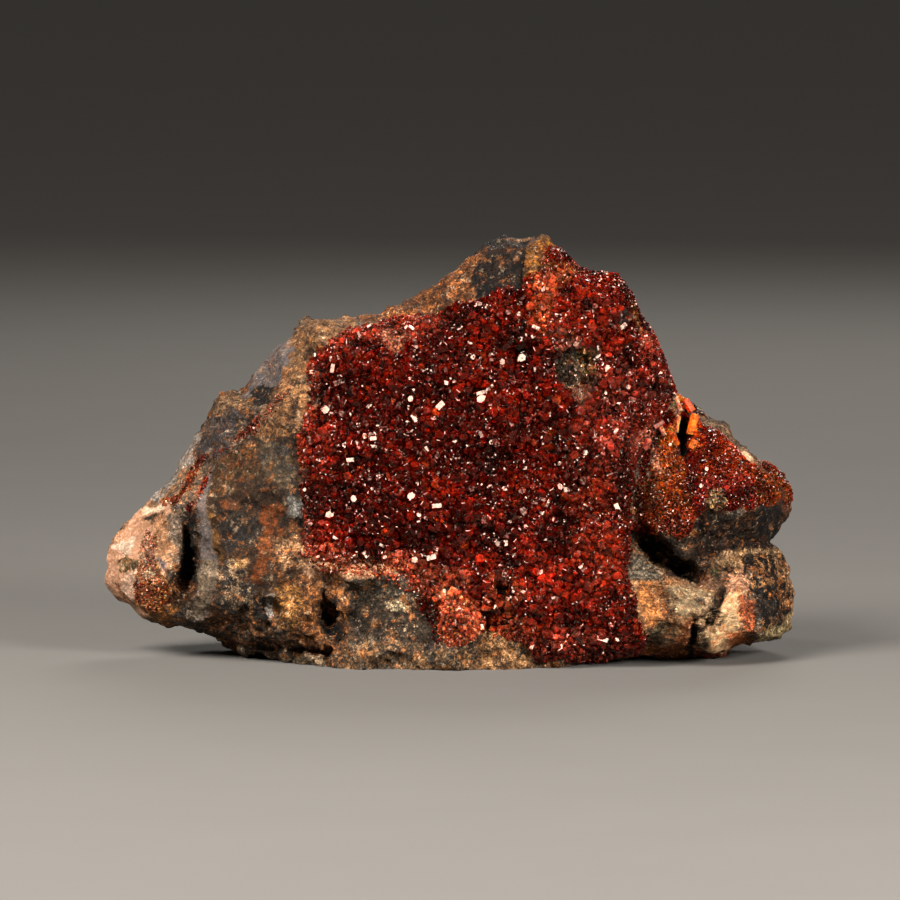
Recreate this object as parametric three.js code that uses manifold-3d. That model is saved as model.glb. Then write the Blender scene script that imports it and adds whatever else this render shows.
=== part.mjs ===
// Vanadinite specimen: a hand-sized piece of iron-stained host rock, broken all round and sawn flat
// underneath, with a crust of red hexagonal crystals over its front face and smaller patches of the
// same crystals on the right lobe and along the ridge at the left.
// Millimetres. +X runs along the front face to the viewer's right, +Y to the back, +Z up.

import * as THREE from 'three';
import { mergeVertices } from 'three/addons/utils/BufferGeometryUtils.js';
import Module from 'manifold-3d';

const wasm = await Module();
wasm.setup();

// Driving dimensions. A place on the front face is given as [across, up], seen square on,
// and relief is how far a point stands out towards the viewer.
const lean = 0.0875;        // rise of the face for each millimetre that it comes forward
const frontFoot = 18;       // relief of the front edge that stands on the ground
const middle = [-0.1, -1.35]; // from the origin to the middle of the piece, across and back
// Where front and back meet: a relief, and waves of it, each with its height, its turns per
// millimetre across and up, and its start.
const rim = { relief: -3, waves: [[2, 0.13, 0.05, 1], [1.2, 0.05, 0.21, 0]] };
const rimSharpness = 9;     // higher values keep the faces flat until closer to the rim
const ridgeWidth = 0.9;     // the ridges between the broken faces are rounded over about this width
const valley = 1.1;         // height of the valleys between crystals off the rock
const root = -1.6;          // the uncut back of a crust, inside the rock
const weld = 0.003;         // points of a finished piece nearer than this are one
const sawStep = 0.6;        // no point of the rock lies nearer to the level of the saw than this
const fitGap = 0.4;         // between the rock and the back of a crust, towards the viewer
const floorClearance = 0.5; // crystals stay this far above the ground
const forward = 0.3;        // share by which growth is drawn towards the viewer
// How uneven the crystals are: shift of their corners in crystal sizes, tipping of their tops, turn
// in radians, and the least and the greatest share of its foot that a top covers.
const habit = { shift: 0.5, tipping: 1.1, turn: 0.7, top: [0.7, 0.9] };

// The rock, seen square to its front face. Its lowest stretch lies under the sawn base.
const rock = {
  centre: [0, 30],
  aspect: 1.6,
  cells: 34,
  outline: [
    [-55.4, 14.6], [-55.1, 18.9], [-53.4, 21.8], [-49, 26.2], [-44.7, 30.7], [-42.2, 35.2],
    [-39.4, 39.7], [-38.3, 42.7], [-36.7, 43.4], [-34, 44], [-31.6, 46.4], [-27.9, 50.9],
    [-25, 52.8], [-24.1, 55.2], [-23, 55.8], [-17, 55.8], [-11.4, 56.6], [-7.6, 58.2],
    [-3.8, 60.4], [1.4, 64.3], [3.8, 66.7], [6.2, 68.2], [8.7, 68.6], [15, 68.3],
    [17.8, 66.4], [20.2, 64], [22.2, 63.2], [26.4, 62.9], [29, 59.4], [30.2, 56.2],
    [32.6, 52.8], [35.2, 46], [36, 43.6], [38, 42], [41.5, 39.6], [43.6, 38.6],
    [46.5, 35.2], [50, 33], [53.2, 30.6], [54.3, 28.5], [54.8, 26.6], [54.2, 23.7],
    [52.6, 21.4], [50.6, 19.5], [52.6, 18.6], [54, 15.4], [55.3, 12.2], [55.1, 9],
    [54.2, 6.1], [53, 3.7], [47, 3.5], [45, 2.6], [43.3, 1.3], [39.8, 1.4], [30.2, 1.2],
    [23.8, 0], [20, -5], [0, -9], [-22, -7], [-27, -1], [-32.6, 0.8], [-34.8, 1.6],
    [-37.2, 3.8], [-42.6, 6.1], [-49.8, 7.5], [-51.8, 9.4], [-54.2, 10.6], [-55.3, 12.5],
  ],
};

// Broken faces of the front: each is a plane through a point, with its slopes across and up.
const frontFaces = [
  { name: 'crystal face', at: [3, 33], relief: 15, slope: [-0.02, -0.22] },
  { name: 'rusty face', at: [-31.4, 23.4], relief: 14.5, slope: [0.28, -0.12] },
  { name: 'grey shoulder', at: [-30.5, 38], relief: 13, slope: [1.1, -0.69] },
  { name: 'knob', at: [-46, 18], relief: 11, slope: [0.75, -0.2] },
  { name: 'right shoulder', at: [24, 53], relief: 10, slope: [-0.5, -0.5] },
  { name: 'right lobe', at: [44, 30], relief: 13, slope: [-0.7, -0.42] },
  { name: 'right end', at: [51, 16], relief: 9, slope: [-1, -0.1] },
];

// Broken faces of the back, where relief is how far the face stands out to the back.
const backFaces = [
  { name: 'main break', at: [0, 20], relief: 19, slope: [0.04, -0.17] },
  { name: 'left break', at: [-38, 20], relief: 13, slope: [0.5, -0.18] },
  { name: 'right break', at: [40, 18], relief: 13, slope: [-0.5, -0.12] },
  { name: 'upper break', at: [10, 52], relief: 11, slope: [-0.12, -0.5] },
  { name: 'left shoulder', at: [-18, 38], relief: 13.5, slope: [0.42, -0.24] },
  { name: 'right shoulder', at: [30, 38], relief: 11, slope: [-0.3, -0.42] },
  { name: 'lower left break', at: [-20, 6], relief: 17, slope: [0.2, 0.35] },
];

// Lumps stand out and pits, with a negative height, go in. turn is in degrees from level.
const lumps = [
  { name: 'knob end', at: [-50, 17], size: [7, 10], height: 2.5 },
  { name: 'cavity beside the knob', at: [-42, 17], size: [2.6, 8.5], height: -7, turn: -4 },
  { name: 'lower step of the shoulder', at: [-35, 41], size: [5, 3.4], height: 2.2, turn: 12 },
  { name: 'upper step of the shoulder', at: [-22.6, 53], size: [3.6, 4], height: 1.6 },
  { name: 'hollow of the shoulder', at: [-29, 46], size: [4.5, 5], height: -2 },
  { name: 'hole in the rusty rock', at: [-19.9, 9], size: [2, 4], height: -6 },
  { name: 'dent beside it', at: [-28, 9.5], size: [2.4, 2], height: -2 },
  { name: 'raised edge under the crust', at: [-15, 14.6], size: [11, 3], height: 1.6, turn: -12 },
  { name: 'bare patch', at: [19.8, 46.6], size: [4.5, 4.5], height: -1.6 },
  { name: 'slot at the edge', at: [28.9, 55], size: [1.8, 3.2], height: -3 },
  { name: 'vug', at: [37, 37.4], size: [3.4, 4.6], height: -4 },
  { name: 'upper right lobe', at: [45, 28], size: [12, 7], height: 2.5, turn: -15 },
  { name: 'lower right lobe', at: [45, 9.5], size: [12, 9], height: 2 },
  { name: 'foot of the crust', at: [1.5, 7], size: [4.5, 5], height: 2 },
  { name: 'hollow in the foot', at: [4.6, 9.8], size: [2.2, 2.6], height: -3 },
  { name: 'dark summit', at: [6.5, 63], size: [5.5, 5], height: -2.4 },
  { name: 'summit ridge', at: [14, 60], size: [2.6, 10], height: 1.8, turn: 8 },
];

// Grooves follow a path. They fall off over one width above the path and another below it.
const grooves = [
  { name: 'crack under the lobe', path: [[29.6, 23], [34.2, 16.6], [38.5, 13.8]],
    above: 3.2, below: 2.6, depth: 7 },
  { name: 'overhang of the lobe', path: [[36, 15], [43, 15.6], [47, 18], [52, 19.2]],
    above: 8, below: 3.4, depth: 6 },
  { name: 'valley beside the lobe', path: [[35, 42], [31.5, 35], [30, 23]],
    above: 3.6, below: 3.6, depth: 2.6 },
  { name: 'seam of the lower lobe', path: [[44, 14], [40.5, 5.5], [38, -1]],
    above: 1.4, below: 1.4, depth: 1.6 },
  { name: 'bedding gap', path: [[-37, 3.4], [-20, 2.6]], above: 1.2, below: 1, depth: 2.5 },
  { name: 'crevice at the summit', path: [[11.8, 67], [11.6, 56]], above: 1.5, below: 1.5, depth: 2.4 },
];

// Chips: scalloped fracture hollows that meet in sharp ridges.
const chips = { cell: 9, depth: 1.8, backDepth: 2.8 };

// Crystal crusts: a bed of hexagonal crystals, each rising from the valleys between its neighbours.
// crystal is the distance from the middle of a crystal to its corner, at its foot. rise and tallest
// are how far the tops of the lowest and of the tallest crystals stand off the rock.
const crusts = [
  {
    name: 'main_crust', centre: [4.6, 33], crystal: 2.6, rise: 1.8, tallest: 3.4,
    outline: [
      [-23, 17.8], [-23.8, 20.2], [-23.1, 23.4], [-24.4, 29], [-24.7, 36.2], [-23.6, 38.7],
      [-22.8, 41.8], [-23.4, 45], [-22.6, 48.6], [-20.6, 51.5], [-17, 53], [-13.8, 53.8],
      [-9.5, 54.8], [-5.8, 55.4], [-1.8, 55.8], [0.1, 57.2], [4.2, 58.2], [7.8, 59.6],
      [11.3, 60.6], [12.9, 62], [15, 61], [17.7, 60.8], [19.6, 60.4], [24.2, 59.6], [26.4, 57],
      [28, 54], [30.4, 50.4], [32.8, 45.6], [33.2, 43.6], [32, 40.4], [30.2, 38.4], [29, 34.6],
      [28.6, 29.8], [28.2, 24.2], [28.2, 20.2], [28.4, 14.6], [29.3, 9.8], [31, 4.4],
      [30, 1.8], [23.8, 1.1], [13.4, 0.6], [12.2, 3.4], [8.6, 4.4], [6.8, 3.6], [5.8, 6.6],
      [4.4, 4.6], [2.2, 2.6], [-0.6, 2.6], [-1.8, 5], [-3, 9.8], [-5.8, 12.2], [-9, 15],
      [-12.2, 16.6], [-17, 16], [-20.2, 17],
    ],
  },
  {
    name: 'lobe_druse', centre: [40.6, 32.2], crystal: 1.8, rise: 1.5, tallest: 2.4,
    outline: [
      [36.8, 40.4], [40.4, 37.6], [43.6, 34.8], [47.6, 31.2], [50, 29.4], [51, 28.2], [50, 27],
      [48.1, 25.9], [45.4, 25], [42.6, 25.6], [40.6, 26.4], [38.8, 24.6], [37.5, 21.1],
      [35.2, 21.4], [33.4, 23], [33.2, 27], [33.6, 33], [35, 36.8], [37, 39.8],
    ],
  },
  {
    name: 'upper_ridge_druse', ...strip([-31.4, 39.4], 14.5, 2.2, 43),
    crystal: 1.2, rise: 1.2, tallest: 1.8,
  },
  {
    name: 'lower_ridge_druse', ...strip([-40.4, 28.2], 9, 2, 66),
    crystal: 1.2, rise: 1.2, tallest: 1.8,
  },
  {
    name: 'knob_druse', ...strip([-48.3, 14.8], 11, 3, 88),
    crystal: 1.2, rise: 1.2, tallest: 1.8,
  },
];

// A long narrow patch: an ellipse of a length and a width, turned by degrees from level.
function strip(centre, length, width, turn) {
  const corners = 20;
  const outline = [];
  for (let i = 0; i < corners; i += 1) {
    const a = -(i / corners) * 2 * Math.PI;
    const along = (length / 2) * Math.cos(a);
    const side = (width / 2) * Math.sin(a);
    const r = (turn * Math.PI) / 180;
    outline.push([
      centre[0] + along * Math.cos(r) - side * Math.sin(r),
      centre[1] + along * Math.sin(r) + side * Math.cos(r),
    ]);
  }
  return { centre, outline };
}

// A repeatable number from 0 to 1 for two whole numbers and a seed.
function scatter(i, j, seed) {
  const v = Math.sin(i * 127.1 + j * 311.7 + seed * 74.7) * 43758.5453;
  return v - Math.floor(v);
}

// Distance from a centre to an outline around it, along a unit direction.
function reach(outline, centre, dx, dz) {
  for (let i = 0; i < outline.length; i += 1) {
    const a = outline[i];
    const b = outline[(i + 1) % outline.length];
    const ax = a[0] - centre[0];
    const az = a[1] - centre[1];
    const ex = b[0] - a[0];
    const ez = b[1] - a[1];
    const cross = dx * ez - dz * ex;
    const along = (dx * az - dz * ax) / -cross;
    const distance = (ax * ez - az * ex) / cross;
    if (along >= -1e-9 && along <= 1 + 1e-9 && distance > 0) return distance;
  }
  throw new Error('the outline does not go round its centre');
}

// Share of the way from a patch's centre to its outline: 0 in the middle and 1 on the outline.
function shareOut(patch, x, h) {
  const dx = x - patch.centre[0];
  const dz = h - patch.centre[1];
  const d = Math.hypot(dx, dz);
  return d < 1e-9 ? 0 : d / reach(patch.outline, patch.centre, dx / d, dz / d);
}

// The lowest of several faces, with the ridges between them rounded over.
function lowestFace(faces, x, h) {
  const sum = faces.reduce((total, f) => {
    const relief = f.relief + f.slope[0] * (x - f.at[0]) + f.slope[1] * (h - f.at[1]);
    return total + Math.exp(-relief / ridgeWidth);
  }, 0);
  return -ridgeWidth * Math.log(sum);
}

// A smooth bump: 1 at its middle and 0 from distance 1 outwards.
function bump(d) {
  return d < 1 ? (1 - d * d) ** 2 : 0;
}

function lumpRelief(x, h) {
  let relief = 0;
  for (const l of lumps) {
    const r = ((l.turn ?? 0) * Math.PI) / 180;
    const dx = x - l.at[0];
    const dz = h - l.at[1];
    const along = (dx * Math.cos(r) + dz * Math.sin(r)) / l.size[0];
    const side = (dz * Math.cos(r) - dx * Math.sin(r)) / l.size[1];
    relief += l.height * bump(Math.hypot(along, side));
  }
  return relief;
}

function grooveRelief(x, h) {
  let relief = 0;
  for (const g of grooves) {
    let deepest = 0;
    for (let i = 0; i + 1 < g.path.length; i += 1) {
      const [ax, az] = g.path[i];
      const ex = g.path[i + 1][0] - ax;
      const ez = g.path[i + 1][1] - az;
      const q = Math.min(1, Math.max(0, ((x - ax) * ex + (h - az) * ez) / (ex * ex + ez * ez)));
      const dx = x - ax - q * ex;
      const dz = h - az - q * ez;
      deepest = Math.max(deepest, bump(Math.hypot(dx, dz) / (dz > 0 ? g.above : g.below)));
    }
    relief -= g.depth * deepest;
  }
  return relief;
}

// Scalloped hollows: each cell of a jittered lattice is a shallow tilted bowl, and the lowest wins.
function chipRelief(x, h, depth, seed) {
  const cx = Math.floor(x / chips.cell);
  const cz = Math.floor(h / chips.cell);
  let lowest = Infinity;
  for (let i = cx - 1; i <= cx + 1; i += 1) {
    for (let j = cz - 1; j <= cz + 1; j += 1) {
      const dx = x / chips.cell - i - scatter(i, j, seed);
      const dz = h / chips.cell - j - scatter(i, j, seed + 1);
      const tilt = (scatter(i, j, seed + 2) - 0.5) * dx + (scatter(i, j, seed + 3) - 0.5) * dz;
      lowest = Math.min(lowest, dx * dx + dz * dz + tilt);
    }
  }
  return depth * (2 * lowest - 0.5);
}

// How full the rock is between its middle, 1, and its rim, 0.
function fullness(share) {
  return Math.sqrt(Math.max(0, 1 - Math.min(1, share) ** rimSharpness));
}

// A place across and up at a relief, as a point of the part.
function place(x, relief, h) {
  return new THREE.Vector3(x, -relief, h - lean * (frontFoot - relief));
}

// Where the front and the back of the rock meet: the waves carry the edge forwards and back.
function rimRelief(x, h) {
  return rim.waves.reduce(
    (relief, [height, across, up, start]) => relief + height * Math.sin(across * x + up * h + start),
    rim.relief,
  );
}

function frontRelief(x, h) {
  const relief = lowestFace(frontFaces, x, h)
    + lumpRelief(x, h) + grooveRelief(x, h) + chipRelief(x, h, chips.depth, 1);
  const edge = rimRelief(x, h);
  return edge + (relief - edge) * fullness(shareOut(rock, x, h));
}

function backRelief(x, h) {
  const relief = lowestFace(backFaces, x, h) + chipRelief(x, h, chips.backDepth, 7);
  const edge = -rimRelief(x, h);
  return edge + (relief - edge) * fullness(shareOut(rock, x, h));
}

// The point of the front face at a place: on the broken faces as they are worked out, or, once the
// rock is made, on its facets.
let rockMesh = null;
function frontPoint(x, h) {
  if (rockMesh) {
    const start = place(x, 60, h);
    const ray = new THREE.Raycaster(start, place(x, -60, h).sub(start).normalize());
    const hits = ray.intersectObject(rockMesh);
    if (hits.length) return hits[0].point;
  }
  return place(x, frontRelief(x, h), h);
}

// Direction in which crystals grow at a place: outwards, drawn a little towards the viewer, so that
// neighbours on a sharp bend stay apart.
function frontNormal(x, h) {
  const step = 1.5;
  const across = frontPoint(x + step, h).sub(frontPoint(x - step, h));
  const up = frontPoint(x, h + step).sub(frontPoint(x, h - step));
  const outward = across.cross(up).normalize();
  return outward.add(new THREE.Vector3(0, -forward, 0)).normalize();
}

// A square grid laid inside an outline: its squares become rings, closer together near the outline.
function gridPlace(patch, s, t) {
  const ring = Math.max(Math.abs(s), Math.abs(t));
  if (ring < 1e-9) return { x: patch.centre[0], h: patch.centre[1], share: 0 };
  const angle = Math.abs(s) >= Math.abs(t)
    ? (Math.PI / 4) * (t / s) + (s < 0 ? Math.PI : 0)
    : Math.PI / 2 - (Math.PI / 4) * (s / t) + (t < 0 ? Math.PI : 0);
  const dx = patch.aspect * Math.cos(angle);
  const dz = Math.sin(angle);
  const d = Math.hypot(dx, dz);
  const share = 0.5 * ring + 0.5 * Math.sin((ring * Math.PI) / 2);
  const distance = share * reach(patch.outline, patch.centre, dx / d, dz / d);
  return {
    x: patch.centre[0] + (distance * dx) / d, h: patch.centre[1] + (distance * dz) / d, share,
  };
}

// A closed body of two sheets that share their rim: a fine front grid and a back grid with half as
// many cells. front and back turn a place of the grid into a point.
function twoSheets(patch, front, back) {
  const n = patch.cells;
  const points = [];
  const faces = [];
  const fine = (i, j) => i * (n + 1) + j;
  const at = (i, j) => gridPlace(patch, (2 * i) / n - 1, (2 * j) / n - 1);
  for (let i = 0; i <= n; i += 1) {
    for (let j = 0; j <= n; j += 1) points.push(front(at(i, j)));
  }
  for (let i = 0; i < n; i += 1) {
    for (let j = 0; j < n; j += 1) {
      faces.push([fine(i, j), fine(i + 1, j), fine(i + 1, j + 1)]);
      faces.push([fine(i, j), fine(i + 1, j + 1), fine(i, j + 1)]);
    }
  }
  const inner = new Map();
  const coarse = (i, j) => {
    if (i === 0 || j === 0 || i === n || j === n) return fine(i, j);
    const key = fine(i, j);
    if (!inner.has(key)) inner.set(key, points.push(back(at(i, j))) - 1);
    return inner.get(key);
  };
  for (let i = 0; i < n; i += 2) {
    for (let j = 0; j < n; j += 2) {
      const loop = [coarse(i, j)];
      if (j === 0) loop.push(fine(i + 1, 0));
      loop.push(coarse(i + 2, j));
      if (i + 2 === n) loop.push(fine(n, j + 1));
      loop.push(coarse(i + 2, j + 2));
      if (j + 2 === n) loop.push(fine(i + 1, n));
      loop.push(coarse(i, j + 2));
      if (i === 0) loop.push(fine(0, j + 1));
      const start = Math.max(0, loop.findIndex((v) => v > fine(n, n)));
      for (let k = 1; k + 1 < loop.length; k += 1) {
        const second = loop[(start + k) % loop.length];
        faces.push([loop[start], loop[(start + k + 1) % loop.length], second]);
      }
    }
  }
  const geometry = new THREE.BufferGeometry().setFromPoints(points);
  geometry.setIndex(faces.flat());
  return solid(geometry);
}

// A manifold-3d solid from a closed three.js geometry, and back again.
function solid(geometry) {
  const bare = geometry.clone();
  bare.deleteAttribute('normal');
  bare.deleteAttribute('uv');
  const merged = mergeVertices(bare, 1e-4);
  return new wasm.Manifold(new wasm.Mesh({
    numProp: 3,
    vertProperties: merged.attributes.position.array,
    triVerts: new Uint32Array(merged.index.array),
  }));
}

// Points nearer to each other than the weld become one, and the triangles that this closes are
// left out.
function toGeometry(body) {
  const mesh = body.getMesh();
  const whole = new THREE.BufferGeometry();
  whole.setAttribute('position', new THREE.BufferAttribute(mesh.vertProperties, 3));
  whole.setIndex(new THREE.BufferAttribute(mesh.triVerts, 1));
  const geometry = mergeVertices(whole, weld);
  const index = Array.from(geometry.index.array);
  const kept = [];
  for (let i = 0; i < index.length; i += 3) {
    const corners = index.slice(i, i + 3);
    if (new Set(corners).size === 3) kept.push(...corners);
  }
  geometry.setIndex(kept);
  geometry.computeVertexNormals();
  return geometry;
}

// Everything lower than a height, to be cut away.
function groundBelow(height) {
  const box = new THREE.BoxGeometry(300, 300, 60);
  box.translate(0, 0, height - 30);
  return solid(box);
}

// The rock: two broken faces that meet in the rim, sawn flat underneath. Points close to the level of
// the saw go a step below it, so that the cut leaves no thin slivers.
function rockBody() {
  const clear = (point) => point.setZ(Math.abs(point.z) < sawStep ? -sawStep : point.z);
  const uncut = twoSheets(
    rock,
    ({ x, h }) => clear(place(x, frontRelief(x, h), h)),
    ({ x, h }) => clear(place(x, -backRelief(x, h), h)),
  );
  return uncut.subtract(groundBelow(0));
}

// The rock together with a copy of itself that is moved towards the viewer by a gap.
function withRoom(body, gap) {
  const moved = toGeometry(body);
  moved.translate(0, -gap, lean * gap);
  return body.add(solid(moved));
}

// A lattice of hexagons is counted in half widths across and half radii up. A hexagon's corners, from
// its middle:
const hexagon = [[1, 1], [0, 2], [-1, 1], [-1, -1], [0, -2], [1, -1]];

// The place across and up of a lattice point.
function latticePlace(crust, i, j) {
  return [
    crust.centre[0] + i * crust.crystal * Math.sqrt(0.75),
    crust.centre[1] + j * crust.crystal * 0.5,
  ];
}

// The middles of the hexagons that fill a crust's outline, as lattice points.
function crystalMiddles(crust) {
  const middles = [];
  for (let row = -30; row <= 30; row += 1) {
    for (let k = -30; k <= 30; k += 1) {
      const middle = [2 * k + Math.abs(row % 2), 3 * row];
      if (shareOut(crust, ...latticePlace(crust, ...middle)) < 1) middles.push(middle);
    }
  }
  return middles;
}

// A crust lies on the rock. Neighbouring crystals share the corners of the valleys between them, and
// each has a flat top, tipped and turned its own way. The crust ends in a steep edge, and its back is
// cut to the rock.
function crustBody(crust, seed, rockWithRoom) {
  const points = [];
  const faces = [];
  const corners = new Map();
  const edges = new Map();
  const onRock = (x, h, rise) => frontPoint(x, h).addScaledVector(frontNormal(x, h), rise);
  const cornerAt = (i, j) => {
    const key = `${i} ${j}`;
    if (!corners.has(key)) {
      const [x, h] = latticePlace(crust, i, j);
      const jx = x + habit.shift * crust.crystal * (scatter(i, j, seed) - 0.5);
      const jh = h + habit.shift * crust.crystal * (scatter(i, j, seed + 1) - 0.5);
      const low = points.push(onRock(jx, jh, root)) - 1;
      points.push(onRock(jx, jh, valley));
      corners.set(key, { x: jx, h: jh, low, high: low + 1 });
    }
    return corners.get(key);
  };
  for (const [i, j] of crystalMiddles(crust)) {
    const [x, h] = latticePlace(crust, i, j);
    const pick = (k) => scatter(i, j, seed + k);
    const ring = hexagon.map(([across, up]) => cornerAt(i + across, j + up));
    const normal = frontNormal(x, h);
    const middle = frontPoint(x, h);
    const height = crust.rise + (crust.tallest - crust.rise) * pick(1) ** 2;
    const tip = new THREE.Vector3(pick(2) - 0.5, pick(3) - 0.5, pick(4) - 0.5);
    const axis = tip.multiplyScalar(habit.tipping).add(normal).normalize();
    const angle = habit.turn * (pick(5) - 0.5);
    const twist = new THREE.Quaternion().setFromAxisAngle(normal, angle);
    const shrink = habit.top[0] + (habit.top[1] - habit.top[0]) * pick(6);
    const first = points.length;
    ring.forEach((c) => {
      const top = frontPoint(x + shrink * (c.x - x), h + shrink * (c.h - h)).sub(middle);
      top.addScaledVector(normal, -top.dot(normal)).applyQuaternion(twist);
      const slant = -top.dot(axis) / axis.dot(normal);
      points.push(top.addScaledVector(normal, slant + height).add(middle));
    });
    for (let k = 0; k < 6; k += 1) {
      const m = (k + 1) % 6;
      faces.push([ring[k].high, ring[m].high, first + m], [ring[k].high, first + m, first + k]);
      const key = [ring[k].low, ring[m].low].sort((p, q) => p - q).join(' ');
      if (edges.has(key)) edges.delete(key);
      else edges.set(key, [ring[k], ring[m]]);
    }
    for (let k = 1; k < 5; k += 1) {
      faces.push([first, first + k, first + k + 1]);
      faces.push([ring[0].low, ring[k + 1].low, ring[k].low]);
    }
  }
  for (const [a, b] of edges.values()) {
    faces.push([a.low, b.low, b.high], [a.low, b.high, a.high]);
  }
  const geometry = new THREE.BufferGeometry().setFromPoints(points);
  geometry.setIndex(faces.flat());
  const trimmed = solid(geometry).subtract(rockWithRoom).subtract(groundBelow(floorClearance));
  return trimmed.decompose().sort((a, b) => b.volume() - a.volume())[0];
}

const colours = {
  matrix: { color: 0x6d5645, roughness: 0.85 },
  main_crust: { color: 0x7a1608, roughness: 0.2 },
  lobe_druse: { color: 0x8c2a10, roughness: 0.25 },
  upper_ridge_druse: { color: 0x8a3014, roughness: 0.25 },
  lower_ridge_druse: { color: 0x8a3014, roughness: 0.25 },
  knob_druse: { color: 0x96401f, roughness: 0.25 },
};

const specimen = new THREE.Group();

function addPiece(name, body) {
  const look = { ...colours[name], metalness: 0, flatShading: true };
  const material = new THREE.MeshStandardMaterial(look);
  const mesh = new THREE.Mesh(toGeometry(body), material);
  mesh.name = name;
  mesh.position.set(-middle[0], -middle[1], 0);
  specimen.add(mesh);
}

const rockSolid = rockBody();
addPiece('matrix', rockSolid);
rockMesh = new THREE.Mesh(toGeometry(rockSolid));
const rockWithRoom = withRoom(rockSolid, fitGap);
crusts.forEach((crust, i) => addPiece(crust.name, crustBody(crust, 11 + i, rockWithRoom)));

export default specimen;
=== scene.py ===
import itertools
import math

import bpy
import numpy as np
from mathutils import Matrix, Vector


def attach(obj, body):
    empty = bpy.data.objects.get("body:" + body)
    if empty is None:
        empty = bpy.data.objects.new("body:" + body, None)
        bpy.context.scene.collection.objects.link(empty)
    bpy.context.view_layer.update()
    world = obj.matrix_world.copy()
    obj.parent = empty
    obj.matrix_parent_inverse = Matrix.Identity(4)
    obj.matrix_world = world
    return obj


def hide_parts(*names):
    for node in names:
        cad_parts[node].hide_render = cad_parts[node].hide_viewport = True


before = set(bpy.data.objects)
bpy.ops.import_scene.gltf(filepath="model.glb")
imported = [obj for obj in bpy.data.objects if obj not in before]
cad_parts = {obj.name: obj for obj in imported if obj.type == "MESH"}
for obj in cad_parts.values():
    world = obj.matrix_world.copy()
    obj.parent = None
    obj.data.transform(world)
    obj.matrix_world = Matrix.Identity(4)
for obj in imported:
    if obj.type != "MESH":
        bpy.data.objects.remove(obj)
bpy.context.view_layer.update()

mm = 0.001

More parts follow.
